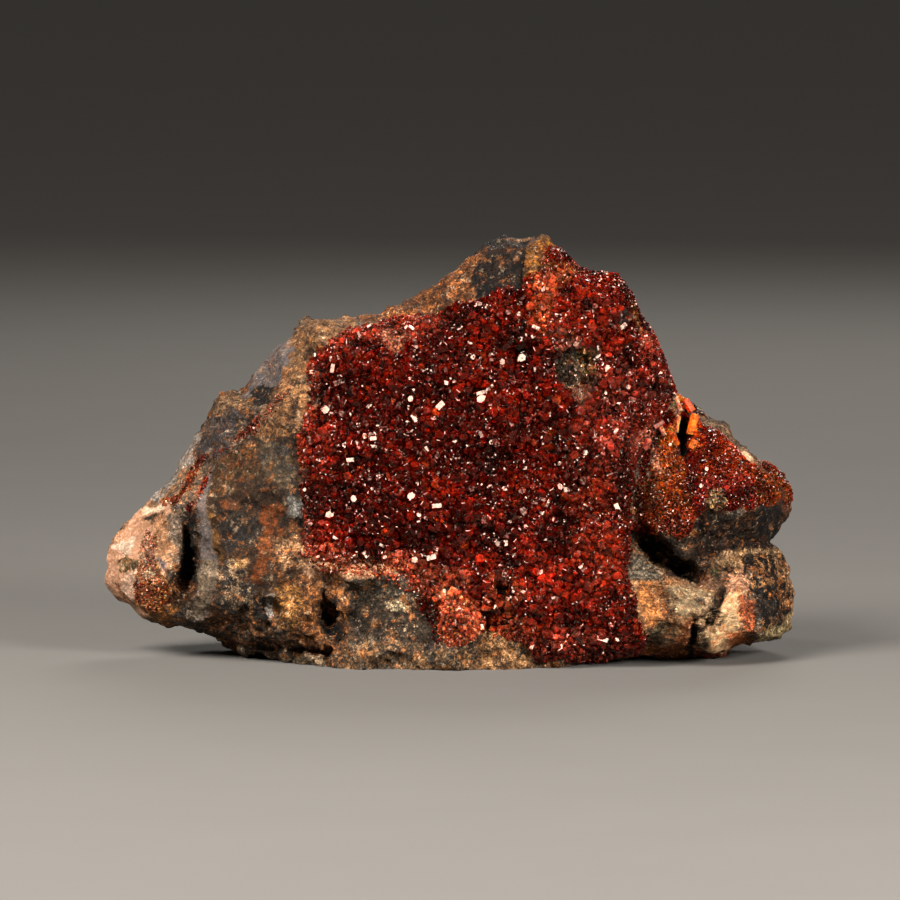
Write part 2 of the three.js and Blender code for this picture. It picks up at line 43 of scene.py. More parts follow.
# A place on the front face is given as x across and h up, in millimetres, seen square on.
# Relief is how far a point stands out towards the viewer.
rock = {
    "centre": (0, 30),
    "aspect": 1.6,           # how much wider than high the rings of the grid are
    "frontCells": 308,
    "backCells": 190,
    "lean": 0.0875,          # rise of the face for each millimetre that it comes forward
    "frontFoot": 18,         # relief of the front edge on the ground
    "middle": (-0.1, -1.35),  # x and relief that stand over the origin
    "rimRelief": -3,
    "rimWaves": [(2, 0.13, 0.05, 1), (1.2, 0.05, 0.21, 0)],
    "rimNotches": 2.6,
    "rimSharpness": 9,
    "bluntFoot": (44, 5, 13, 9, 18),   # x, h, half width, half height, how much more sharpness
    "softness": 0.9,         # width over which the broken faces run into each other
    "ragged": 0,             # how uneven the outline is, in millimetres
    "chipSize": 9,
    "frontChips": 1.8,
    "backChips": 1.7,
    "outline": [
        (-55.4, 14.6), (-55.1, 18.9), (-53.4, 21.8), (-49, 26.2), (-44.7, 30.7), (-42.2, 35.2),
        (-39.4, 39.7), (-38.3, 42.7), (-36.7, 43.4), (-34, 44), (-31.6, 46.4), (-27.9, 50.9),
        (-25, 52.8), (-24.1, 55.2), (-23, 55.8), (-17, 55.8), (-11.4, 56.6), (-7.6, 58.2),
        (-3.8, 60.4), (1.4, 64.3), (3.8, 66.7), (6.2, 68.2), (8.7, 68.6), (15, 68.3),
        (17.8, 66.4), (20.2, 64), (22.2, 63.2), (26.4, 62.9), (29, 59.4), (30.2, 56.2),
        (32.6, 52.8), (35.2, 46), (36, 43.6), (38, 42), (41.5, 39.6), (43.6, 38.6),
        (46.5, 35.2), (50, 33), (53.2, 30.6), (54.3, 28.5), (54.8, 26.6), (54.2, 23.7),
        (52.6, 21.4), (50.6, 19.5), (52.6, 18.6), (54, 15.4), (55.3, 12.2), (55.1, 9),
        (54.2, 6.1), (53, 3.7), (47, 3.5), (45, 2.6), (43.3, 1.3), (39.8, 1.4), (30.2, 1.2),
        (23.8, 0), (20, -5), (0, -9), (-22, -7), (-27, -1), (-32.6, 0.8), (-34.8, 1.6),
        (-37.2, 3.8), (-42.6, 6.1), (-49.8, 7.5), (-51.8, 9.4), (-54.2, 10.6), (-55.3, 12.5),
    ],
    # Broken faces: x, h, relief, slope across, slope up
    "frontFaces": [
        (3, 33, 15, -0.02, -0.22),
        (-31.4, 23.4, 14.5, 0.28, -0.12),
        (-30.5, 38, 13, 1.1, -0.69),
        (-46, 18, 11, 0.75, -0.2),
        (24, 53, 10, -0.5, -0.5),
        (44, 30, 13, -0.7, -0.42),
        (51, 16, 9, -1, -0.1),
    ],
    "backFaces": [
        (0, 20, 19, 0.04, -0.17),
        (-38, 20, 13, 0.5, -0.18),
        (40, 18, 13, -0.5, -0.12),
        (10, 52, 11, -0.12, -0.5),
        (-18, 38, 13.5, 0.42, -0.24),
        (30, 38, 11, -0.3, -0.42),
        (-20, 6, 17, 0.2, 0.35),
    ],
    # Lumps and pits: x, h, half width, half height, how far it stands out, turn in degrees
    "lumps": [
        (-50, 17, 7, 10, 2.5, 0),
        (-42, 17, 2.6, 8.5, -7, -4),
        (-35, 41, 5, 3.4, 2.2, 12),
        (-22.6, 53, 3.6, 4, 1.6, 0),
        (-29, 46, 4.5, 5, -2, 0),
        (-19.7, 8.6, 2.6, 4.4, -6.5, 8),
        (-28, 9.5, 2.4, 2, -2, 0),
        (-15, 14.6, 11, 3, 1.6, -12),
        (19, 47.2, 4.5, 5, 0.6, 0),
        (28.9, 55, 1.8, 3.2, -3, 0),
        (37, 37.4, 3.4, 4.6, -4, 0),
        (45, 28, 12, 7, 2.5, -15),
        (45, 9.5, 12, 9, 2, 0),
        (1.5, 7, 4.5, 5, 2, 0),
        (4.6, 9.8, 2.2, 2.6, -3, 0),
        (6.5, 63, 5.5, 5, -2.4, 0),
        (14, 60, 2.6, 10, 1.8, 8),
        (43.2, 5.5, 4.4, 5.5, 0.6, 0),
        (-52, 19.6, 3, 2.4, 0.5, 30),
    ],
    # Grooves: path, reach above it, reach below it, depth
    "grooves": [
        ([(30.8, 20.6), (34.2, 16.6), (38.5, 13.8)], 2.8, 2.6, 7),
        ([(36, 15), (43, 15.6), (47, 18), (52, 19.2)], 8, 3.4, 6),
        ([(35, 42), (31.5, 35), (30, 23)], 3.6, 3.6, 2.6),
        ([(44, 14), (40.5, 5.5), (38, -1)], 1.4, 1.4, 1.6),
        ([(-37, 3.4), (-20, 2.6)], 1.2, 1, 2.5),
        ([(11.8, 67), (11.6, 56)], 1.5, 1.5, 2.4),
    ],
    # Sharp edges and cracks: path, reach on the left of its direction, reach on the right, height
    "creases": [
        ([(-37.2, 32.5), (-38.2, 30), (-38.8, 28), (-38.9, 25), (-38.4, 22.5), (-37.7, 20), (-37.2, 18),
          (-36.9, 16.2), (-37.1, 14.4), (-37.9, 12.6)], 3.6, 2.2, 1.1),
        ([(-39, 41.6), (-35, 41.8), (-31.4, 40.8)], 1.8, 1.4, 0.8),
        ([(-38.6, 43.4), (-38.8, 40), (-41, 36.5), (-42.6, 33)], 1.6, 1.2, 0.5),
        ([(-24.6, 55), (-25.2, 51), (-26.6, 46.6), (-28.6, 43.4)], 1.6, 1.6, 0.7),
        ([(-46.6, 26), (-44.6, 22.5), (-44.4, 19), (-44.6, 15.4), (-46, 11.4)], 1.2, 2.2, 0.9),
        ([(-50.2, 21.6), (-49.6, 17), (-50.4, 12.6)], 0.7, 1.4, -0.8),
        ([(43.6, 12.6), (42.2, 10.4), (41.4, 8.6), (39.2, 5.8)], 0.5, 0.4, -1.6),
        ([(38.4, 7.8), (38.3, 5), (38.1, 0)], 0.7, 0.7, -3.4),
        ([(-45.8, 24.1), (-47.1, 23.4), (-48.5, 22.1)], 0.5, 0.5, -0.7),
        ([(-50.2, 15.8), (-50.2, 12.5), (-51.2, 9.4)], 0.5, 1.6, 0.8),
        ([(-53, 17.6), (-51.4, 15.6), (-52, 13)], 1.2, 1.2, -0.7),
        ([(46.9, 12.6), (48.1, 9.4), (47.4, 5)], 0.6, 0.9, -0.8),
        ([(-16, 14.9), (-9, 14.2), (-4, 12)], 1.2, 1.8, 0.7),
        ([(-30.6, 11.4), (-28.3, 8.6), (-29, 6.4)], 0.6, 0.9, -0.8),
        ([(-26.6, 21.5), (-29.4, 17), (-31.4, 12)], 1.4, 1, 0.5),
        ([(-34, 26.6), (-30.4, 24.6), (-28.4, 20.6)], 1.2, 1.8, -0.5),
        ([(5.2, 68.6), (4.4, 64), (5.4, 59.4)], 1.6, 1, 0.6),
        ([(8.4, 4.8), (9.4, 2.6), (12, 3.8)], 0.7, 0.7, -0.7),
        ([(36.7, 39), (36.8, 37), (36.8, 34)], 2.3, 2, -6),
        ([(26.8, 56.8), (27.3, 53.8)], 1.3, 1.1, -4.5),
        ([(5.1, 9.6), (5.4, 6.8)], 1.8, 1.6, -4.5),
    ],
}


# A repeatable number from 0 to 1 for whole numbers and a seed: the fraction of a large sine.
def scatter(i, j, seed):
    v = np.sin(i * 127.1 + j * 311.7 + seed * 74.7) * 43758.5453
    return v - np.floor(v)


# The same for cells in space.
def scatterCell(cell, seed):
    v = np.sin(cell @ np.array([127.1, 311.7, 74.7]) + seed * 19.3) * 43758.5453
    return v - np.floor(v)


# Smooth noise from 0 to 1: the eight corners of a point's cell each hold a number, mixed smoothly.
def noiseAt(points, size, seed):
    low = np.floor(points / size)
    f = points / size - low
    f = f * f * (3 - 2 * f)
    total = np.zeros(points.shape[:-1])
    for corner in itertools.product((0, 1), repeat=3):
        weight = np.prod(np.where(np.array(corner) == 1, f, 1 - f), axis=-1)
        total += weight * scatterCell(low + corner, seed)
    return total


# Noise of several sizes, each half as large and a share as strong as the one before it.
def layers(points, size, seed, count=3, share=0.5):
    total = np.zeros(points.shape[:-1])
    weights = [share ** k for k in range(count)]
    for k, weight in enumerate(weights):
        total += weight * noiseAt(points, size / 2 ** k, seed + 10 * k)
    return total / sum(weights)


# Broken surface: each cell holds a slanted shallow bowl at a random place, and the lowest bowl wins.
def hollows(points, size, seed, bowl=0.6, slant=1.4):
    low = np.floor(points / size)
    lowest = np.full(points.shape[:-1], 9.0)
    for step in itertools.product((-1, 0, 1), repeat=3):
        cell = low + step
        offset = points / size - cell
        tilted = np.zeros(points.shape[:-1])
        square = np.zeros(points.shape[:-1])
        for axis in range(3):
            d = offset[..., axis] - scatterCell(cell, seed + axis)
            square += d * d
            tilted += (scatterCell(cell, seed + 5 + axis) - 0.5) * d
        lowest = np.minimum(lowest, np.where(square < 1.7, bowl * square + slant * tilted, 9.0))
    return lowest


# From 0 to 1 between two levels, with a level start and end.
def smooth(low, high, v):
    t = np.clip((v - low) / (high - low), 0, 1)
    return t * t * (3 - 2 * t)


# Places on the face as points of a flat sheet, for noise that depends on the place alone.
def flatPoints(x, h):
    return np.stack([x, h, np.zeros_like(x)], axis=-1)


# The outline around a patch's centre, as distance by angle, with its ragged edge.
def outlineTable(patch):
    stepsPerSide = 12
    loop = np.array(patch["outline"], float)
    steps = np.linspace(0, 1, stepsPerSide, endpoint=False)[:, None]
    onward = np.roll(loop, -1, axis=0) - loop
    edge = (loop[:, None] + steps * onward[:, None]).reshape(-1, 2) - patch["centre"]
    wobble = layers(flatPoints(edge[:, 0], edge[:, 1]), size=3.2, seed=5, share=0.7) - 0.5
    edge += edge / np.hypot(edge[:, :1], edge[:, 1:]) * (patch["ragged"] * wobble)[:, None]
    angle = np.arctan2(edge[:, 1], edge[:, 0])
    order = np.argsort(angle)
    return angle[order], np.hypot(edge[order, 0], edge[order, 1])


# How far the outline is from a patch's centre in a direction.
def reach(patch, dx, dz):
    if "table" not in patch:
        patch["table"] = outlineTable(patch)
    return np.interp(np.arctan2(dz, dx), *patch["table"], period=2 * math.pi)


# Share of the way from a patch's centre to its outline.
def shareOut(patch, x, h):
    dx = x - patch["centre"][0]
    dz = h - patch["centre"][1]
    return np.hypot(dx, dz) / reach(patch, dx, dz)


# A square grid laid inside an outline: its squares become rings, closer together near the outline.
def ringGrid(patch):
    side = np.linspace(-1, 1, patch["cells"] + 1)
    s, t = np.meshgrid(side, side, indexing="ij")
    ring = np.maximum(abs(s), abs(t))
    wide = abs(s) >= abs(t)
    byS = np.divide(t, s, out=np.zeros_like(s), where=s != 0)
    byT = np.divide(s, t, out=np.zeros_like(s), where=t != 0)
    quarter = math.pi / 4
    angleByS = quarter * byS + math.pi * (s < 0)
    angleByT = 2 * quarter - quarter * byT + math.pi * (t < 0)
    angle = np.where(wide, angleByS, angleByT)
    dx = patch["aspect"] * np.cos(angle)
    dz = np.sin(angle)
    d = np.hypot(dx, dz)
    share = 0.5 * ring + 0.5 * np.sin(ring * math.pi / 2)
    distance = share * reach(patch, dx, dz)
    return patch["centre"][0] + distance * dx / d, patch["centre"][1] + distance * dz / d, share


# The lowest of several planes, rounded where they meet.
def lowestFace(faces, x, h):
    total = 0
    for ax, ah, relief, across, up in faces:
        total = total + np.exp(-(relief + across * (x - ax) + up * (h - ah)) / rock["softness"])
    return -rock["softness"] * np.log(total)


# A round hill that is 1 at its middle and runs out level at a distance of 1.
def bump(d):
    return np.where(d < 1, (1 - np.minimum(d, 1) ** 2) ** 2, 0)


# Distance from an ellipse's middle, 1 on the ellipse.
def ovalDistance(x, h, at, size, turn=0):
    r = math.radians(turn)
    dx = x - at[0]
    dz = h - at[1]
    along = (dx * math.cos(r) + dz * math.sin(r)) / size[0]
    side = (dz * math.cos(r) - dx * math.sin(r)) / size[1]
    return np.hypot(along, side)


# How far places are across and up from the nearest point of a straight line.
def fromLine(x, h, start, end):
    (ax, ah), (bx, bh) = start, end
    ex, eh = bx - ax, bh - ah
    q = np.clip(((x - ax) * ex + (h - ah) * eh) / (ex * ex + eh * eh), 0, 1)
    return x - ax - q * ex, h - ah - q * eh


# Round channels along paths, with a reach of their own above and below the path.
def grooveDepth(x, h):
    relief = np.zeros_like(x)
    for path, above, below, depth in rock["grooves"]:
        deepest = np.zeros_like(x)
        for start, end in zip(path, path[1:]):
            dx, dh = fromLine(x, h, start, end)
            deepest = np.maximum(deepest, bump(np.hypot(dx, dh) / np.where(dh > 0, above, below)))
        relief -= depth * deepest
    return relief


# Sharp ridges and cracks along paths: they fall straight to nothing on each side of the path.
def creaseRelief(x, h):
    relief = np.zeros_like(x)
    for path, left, right, height in rock["creases"]:
        nearest = np.full_like(x, 1e9)
        for start, end in zip(path, path[1:]):
            d = np.hypot(*fromLine(x, h, start, end))
            onLeft = (end[0] - start[0]) * (h - start[1]) - (end[1] - start[1]) * (x - start[0]) > 0
            nearest = np.minimum(nearest, d / np.where(onLeft, left, right))
        relief += height * np.maximum(0, 1 - nearest)
    return relief


# Scalloped hollows of the large breaks: the lowest of tilted bowls on a jittered lattice.
def chipRelief(x, h, depth, seed):
    cx = np.floor(x / rock["chipSize"])
    ch = np.floor(h / rock["chipSize"])
    lowest = np.full_like(x, 9.0)
    for i, j in itertools.product((-1, 0, 1), repeat=2):
        atX, atH, tiltX, tiltH = (scatter(cx + i, ch + j, seed + k) for k in range(4))
        dx = x / rock["chipSize"] - cx - i - atX
        dh = h / rock["chipSize"] - ch - j - atH
        tilt = (tiltX - 0.5) * dx + (tiltH - 0.5) * dh
        lowest = np.minimum(lowest, dx * dx + dh * dh + tilt)
    return depth * (2 * lowest - 0.5)


# The line of the rim: two long waves and the notches of the break.
def rimRelief(x, h):
    notches = layers(flatPoints(x, h), size=6, seed=57, share=0.6) - 0.5
    return rock["rimRelief"] + 2 * rock["rimNotches"] * notches + sum(
        height * np.sin(across * x + up * h + start) for height, across, up, start in rock["rimWaves"])


# The faces stay flat until close to the rim, and closest at the blunt foot of the lower lobe.
def fullness(x, h):
    ax, ah, width, height, more = rock["bluntFoot"]
    sharpness = rock["rimSharpness"] + more * bump(ovalDistance(x, h, (ax, ah), (width, height)))
    return np.sqrt(np.maximum(0, 1 - np.minimum(1, shareOut(rock, x, h)) ** sharpness))


# The lowest of the broken faces, with the grooves, lumps, scallops and creases, drawn in to the rim.
def frontRelief(x, h):
    relief = lowestFace(rock["frontFaces"], x, h) + grooveDepth(x, h)
    for ax, ah, width, height, out, turn in rock["lumps"]:
        relief += out * bump(ovalDistance(x, h, (ax, ah), (width, height), turn))
    relief += chipRelief(x, h, rock["frontChips"], 1) + creaseRelief(x, h)
    edge = rimRelief(x, h)
    return edge + (relief - edge) * fullness(x, h)


# The same for the back, which has only its broken faces and scallops.
def backRelief(x, h):
    relief = lowestFace(rock["backFaces"], x, h) + chipRelief(x, h, rock["backChips"], 7)
    edge = -rimRelief(x, h)
    return edge + (relief - edge) * fullness(x, h)


# A place and its relief as a point of the part, in millimetres.
def place(x, relief, h):
    z = h - rock["lean"] * (rock["frontFoot"] - relief)
    return np.stack([x - rock["middle"][0], -relief - rock["middle"][1], z], axis=-1)


# Directions of length one.
def unit(v):
    return v / np.maximum(np.linalg.norm(v, axis=-1, keepdims=True), 1e-9)


# How far apart the places are that give the direction square to the rock, in millimetres
wideStep, fineStep = 0.7, 0.4


# The front of the rock at a place, and the direction square to it, from the places one step away.
def frontSurface(x, h, step=wideStep):
    point = place(x, frontRelief(x, h), h)
    right = place(x + step, frontRelief(x + step, h), h)
    left = place(x - step, frontRelief(x - step, h), h)
    above = place(x, frontRelief(x, h + step), h + step)
    below = place(x, frontRelief(x, h - step), h - step)
    return point, unit(np.cross(right - left, above - below))


# Two sheets of the same grid that share their border, as points and triangles. The diagonals of
# the two sheets cross, so that no triangle at a corner lies on its twin.
def twoSheets(front, back):
    n = front.shape[0] - 1
    a = np.arange((n + 1) ** 2).reshape(n + 1, n + 1)
    b = a.copy()
    b[1:-1, 1:-1] = (n + 1) ** 2 + np.arange((n - 1) ** 2).reshape(n - 1, n - 1)
    points = np.concatenate([front.reshape(-1, 3), back[1:-1, 1:-1].reshape(-1, 3)])
    faces = np.concatenate([
        np.stack([a[:-1, :-1], a[1:, :-1], a[1:, 1:]], axis=-1).reshape(-1, 3),
        np.stack([a[:-1, :-1], a[1:, 1:], a[:-1, 1:]], axis=-1).reshape(-1, 3),
        np.stack([b[:-1, :-1], b[:-1, 1:], b[1:, :-1]], axis=-1).reshape(-1, 3),
        np.stack([b[1:, :-1], b[:-1, 1:], b[1:, 1:]], axis=-1).reshape(-1, 3),
    ])
    return points, faces


# Values on a grid as values at the points of its two sheets.
def bothSheets(values):
    return np.concatenate([values.ravel(), values[1:-1, 1:-1].ravel()])


# Distance to an outline in millimetres, negative inside it.
def outlineDistance(outline, x, h):
    nearest = np.full(x.shape, 1e9)
    inside = np.zeros(x.shape, bool)
    for start, end in zip(outline, outline[1:] + outline[:1]):
        nearest = np.minimum(nearest, np.hypot(*fromLine(x, h, start, end)))
        (ax, ah), (bx, bh) = start, end
        inside ^= ((ah > h) != (bh > h)) & (x < (bx - ax) * (h - ah) / ((bh - ah) or 1) + ax)
    return np.where(inside, -nearest, nearest)


# Normals at the points of a mesh: the sum of the normals of the triangles around each point.
def pointNormals(points, faces):
    corners = points[faces]
    across = np.cross(corners[:, 1] - corners[:, 0], corners[:, 2] - corners[:, 0])
    total = np.zeros_like(points)
    for k in range(3):
        for axis in range(3):
            total[:, axis] += np.bincount(faces[:, k], across[:, axis], len(points))
    return unit(total)


# Display colours, 0 to 255, as the linear values that a shader takes.
def linear(colour):
    c = np.asarray(colour, float) / 255
    return np.where(c <= 0.04045, c / 12.92, ((c + 0.055) / 1.055) ** 2.4)


def addToScene(name, data):
    made = bpy.data.objects.new(name, data)
    bpy.context.scene.collection.objects.link(made)
    return made


# A mesh from its points in millimetres, its triangles and the values at its points.
def addPiece(name, points, faces, material, attributes, replaced, smoothFaces=False):
    used, index = np.unique(faces, return_inverse=True)
    points, faces = points[used], index.reshape(faces.shape)
    attributes = {label: values[used] for label, values in attributes.items()}
    mesh = bpy.data.meshes.new(name)
    mesh.vertices.add(len(points))
    mesh.vertices.foreach_set("co", (points * mm).astype(np.float32).ravel())
    mesh.loops.add(faces.size)
    mesh.loops.foreach_set("vertex_index", faces.astype(np.int32).ravel())
    mesh.polygons.add(len(faces))
    mesh.polygons.foreach_set("loop_start", np.arange(0, faces.size, 3, dtype=np.int32))
    mesh.polygons.foreach_set("use_smooth", np.full(len(faces), smoothFaces))
    mesh.update(calc_edges=True)
    for label, values in attributes.items():
        if values.ndim == 1:
            layer = mesh.attributes.new(label, "FLOAT", "POINT")
            layer.data.foreach_set("value", values.astype(np.float32))
        else:
            layer = mesh.attributes.new(label, "FLOAT_COLOR", "POINT")
            alpha = np.ones((len(values), 1))
            layer.data.foreach_set("color", np.concatenate([values, alpha], 1).astype(np.float32).ravel())
    mesh.materials.append(material)
    piece = addToScene(name, mesh)
    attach(piece, "root")
    if replaced:
        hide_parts(*replaced)
    print("piece", name, len(faces), "triangles")


# A shader node, with each input set to a number or joined to a socket.
def addNode(tree, kind, inputs, **settings):
    made = tree.nodes.new("ShaderNode" + kind)
    for name, value in settings.items():
        setattr(made, name, value)
    for name, value in inputs.items():
        if isinstance(value, bpy.types.NodeSocket):
            tree.links.new(value, made.inputs[name])
        else:
            made.inputs[name].default_value = value
    return made


# A new material: itself, its tree, its shader and the place on the piece.
def startMaterial(name):
    material = bpy.data.materials.new(name)
    material.use_nodes = True
    tree = material.node_tree
    return material, tree, tree.nodes["Principled BSDF"], addNode(tree, "TexCoord", {}).outputs["Object"]


# A number by a ramp between two levels.
def between(tree, value, low, high, toLow=0.0, toHigh=1.0):
    inputs = {"Value": value, "From Min": low, "From Max": high, "To Min": toLow, "To Max": toHigh}
    return addNode(tree, "MapRange", inputs, clamp=True).outputs["Result"]


def mixColour(tree, factor, first, second, blend="MIX"):
    inputs = {0: factor, 6: first, 7: second}
    return addNode(tree, "Mix", inputs, data_type="RGBA", blend_type=blend).outputs[2]


def attribute(tree, name, output="Fac"):
    return addNode(tree, "Attribute", {}, attribute_name=name).outputs[output]


def noiseNode(tree, place3d, scale, detail, roughness):
    inputs = {"Vector": place3d, "Scale": scale, "Detail": detail, "Roughness": roughness}
    return addNode(tree, "TexNoise", inputs).outputs["Fac"]


def vectorMath(tree, operation, inputs):
    return addNode(tree, "VectorMath", inputs, operation=operation).outputs[0]


# A normal tilted at random in each small cell, so that grains and tiny faces catch the light singly.
def tiltedNormal(tree, normal, cells, strength, amount):
    tilt = vectorMath(tree, "SUBTRACT", {0: cells.outputs["Color"], 1: (0.5, 0.5, 0.5)})
    for factor in (strength, amount):
        tilt = vectorMath(tree, "SCALE", {0: tilt, "Scale": factor})
    return vectorMath(tree, "NORMALIZE", {0: vectorMath(tree, "ADD", {0: normal, 1: tilt})})


def product(tree, first, second):
    return addNode(tree, "Math", {0: first, 1: second}, operation="MULTIPLY").outputs[0]


# Rust, cream and charcoal blotches: scale of the noise, level where they start, level where they are
# full, strength, colour
blotches = [
    (510, 0.56, 0.6, 0.7, (0.24, 0.08, 0.02, 1)),
    (730, 0.575, 0.62, 0.45, (0.42, 0.29, 0.18, 1)),
    (880, 0.555, 0.59, 0.9, (0.02, 0.015, 0.011, 1)),
]


# The rock's finish: two colours in crisp patches, the blotches, and grains of two sizes, each with its
# own brightness and tilt; a few grains are painted much brighter as painted glints. Grit is how strongly
# the grains show.
def rockMaterial():
    material, tree, shader, place3d = startMaterial("ironStainedRock")
    first = attribute(tree, "rockColour", "Color")
    second = attribute(tree, "rockSecond", "Color")
    share = attribute(tree, "secondShare")
    grit = attribute(tree, "grit")
    patches = noiseNode(tree, place3d, 620, 8, 0.75)
    level = addNode(tree, "Math", {0: share, 1: 0.31, 2: patches}, operation="MULTIPLY_ADD").outputs[0]
    ground = mixColour(tree, between(tree, level, 0.63, 0.67), first, second)
    for scale, low, high, strength, shade in blotches:
        amount = between(tree, noiseNode(tree, place3d, scale, 7, 0.7), low, high, 0, strength)
        ground = mixColour(tree, product(tree, amount, grit), ground, shade)
    coarse = noiseNode(tree, place3d, 1500, 5, 0.7)
    grains = addNode(tree, "TexVoronoi", {"Vector": place3d, "Scale": 4200})
    stones = addNode(tree, "TexVoronoi", {"Vector": place3d, "Scale": 1400})
    grainPick = addNode(tree, "SeparateColor", {"Color": grains.outputs["Color"]}).outputs
    stonePick = addNode(tree, "SeparateColor", {"Color": stones.outputs["Color"]}).outputs
    shade = between(tree, coarse, 0.4, 0.6, 0.45, 1.6)
    shade = product(tree, shade, between(tree, grainPick["Red"], 0, 1, 0.4, 1.7))
    shade = product(tree, shade, between(tree, stonePick["Red"], 0, 1, 0.6, 1.4))
    # A few grains are painted up to 2.3 times brighter: painted glints.
    shade = product(tree, shade, between(tree, grainPick["Green"], 0.92, 0.95, 0.95, 2.3))
    wide = noiseNode(tree, place3d, 240, 4, 0.6)
    shade = product(tree, shade, between(tree, wide, 0.38, 0.62, 0.65, 1.4))
    evened = addNode(tree, "Mix", {0: grit, 2: 1.0, 3: shade}).outputs[0]
    tinted = mixColour(tree, 1.0, ground, evened, "MULTIPLY")
    tree.links.new(tinted, shader.inputs["Base Color"])
    rough = between(tree, grainPick["Blue"], 0.9, 0.96, 0.85, 0.2)
    tree.links.new(rough, shader.inputs["Roughness"])
    relief = addNode(tree, "Bump", {"Height": coarse, "Strength": 1.0, "Distance": 0.0007})
    normal = tiltedNormal(tree, relief.outputs["Normal"], stones, 0.6, grit)
    normal = tiltedNormal(tree, normal, grains, 0.8, grit)
    tree.links.new(normal, shader.inputs["Normal"])
    shader.inputs["Specular IOR Level"].default_value = 0.2
    return material


# Crystal finish: deep red body colour from the piece, clouded inside by noise of three sizes, partly
# uneven tone and partly painted internal reflections, the bright and dark spots that light makes inside
# the translucent crystals. Bright flat faces, some of them etched dull in small cells. Sparkle is how far
# the tiny faces of the fine growth are tilted.
def crystalMaterial(name):
    material, tree, shader, place3d = startMaterial(name)
    body = attribute(tree, "crystalColour", "Color")
    frost = attribute(tree, "frost")
    sparkle = attribute(tree, "sparkle")
    blotch = noiseNode(tree, place3d, 380, 4, 0.6)
    cloud = noiseNode(tree, place3d, 2300, 3, 0.65)
    inner = addNode(tree, "TexVoronoi", {"Vector": place3d, "Scale": 4300})
    innerPick = addNode(tree, "SeparateColor", {"Color": inner.outputs["Color"]}).outputs
    shade = between(tree, blotch, 0.36, 0.64, 0.3, 1.8)
    shade = product(tree, shade, between(tree, cloud, 0.36, 0.64, 0.22, 1.85))
    shade = product(tree, shade, between(tree, innerPick["Red"], 0, 1, 0.6, 1.4))
    wide = noiseNode(tree, place3d, 150, 3, 0.5)
    shade = product(tree, shade, between(tree, wide, 0.38, 0.62, 0.5, 1.6))
    tree.links.new(mixColour(tree, 1.0, body, shade, "MULTIPLY"), shader.inputs["Base Color"])
    wear = between(tree, innerPick["Green"], 0.62, 0.95, 0.06, 0.36)
    tree.links.new(addNode(tree, "Math", {0: wear, 1: frost}, operation="ADD").outputs[0],
                   shader.inputs["Roughness"])
    straight = addNode(tree, "NewGeometry", {}).outputs["Normal"]
    tilted = product(tree, sparkle, between(tree, innerPick["Blue"], 0.42, 0.44))
    tree.links.new(tiltedNormal(tree, straight, inner, 1.2, tilted), shader.inputs["Normal"])
    shader.inputs["IOR"].default_value = 1.5
    shader.inputs["Subsurface Weight"].default_value = 1.0
    shader.inputs["Subsurface Radius"].default_value = (1.0, 0.2, 0.1)
    shader.inputs["Subsurface Scale"].default_value = 0.0018
    shader.inputs["Specular IOR Level"].default_value = 0.42
    shader.inputs["Specular Tint"].default_value = (1.0, 0.68, 0.56, 1)
    return material
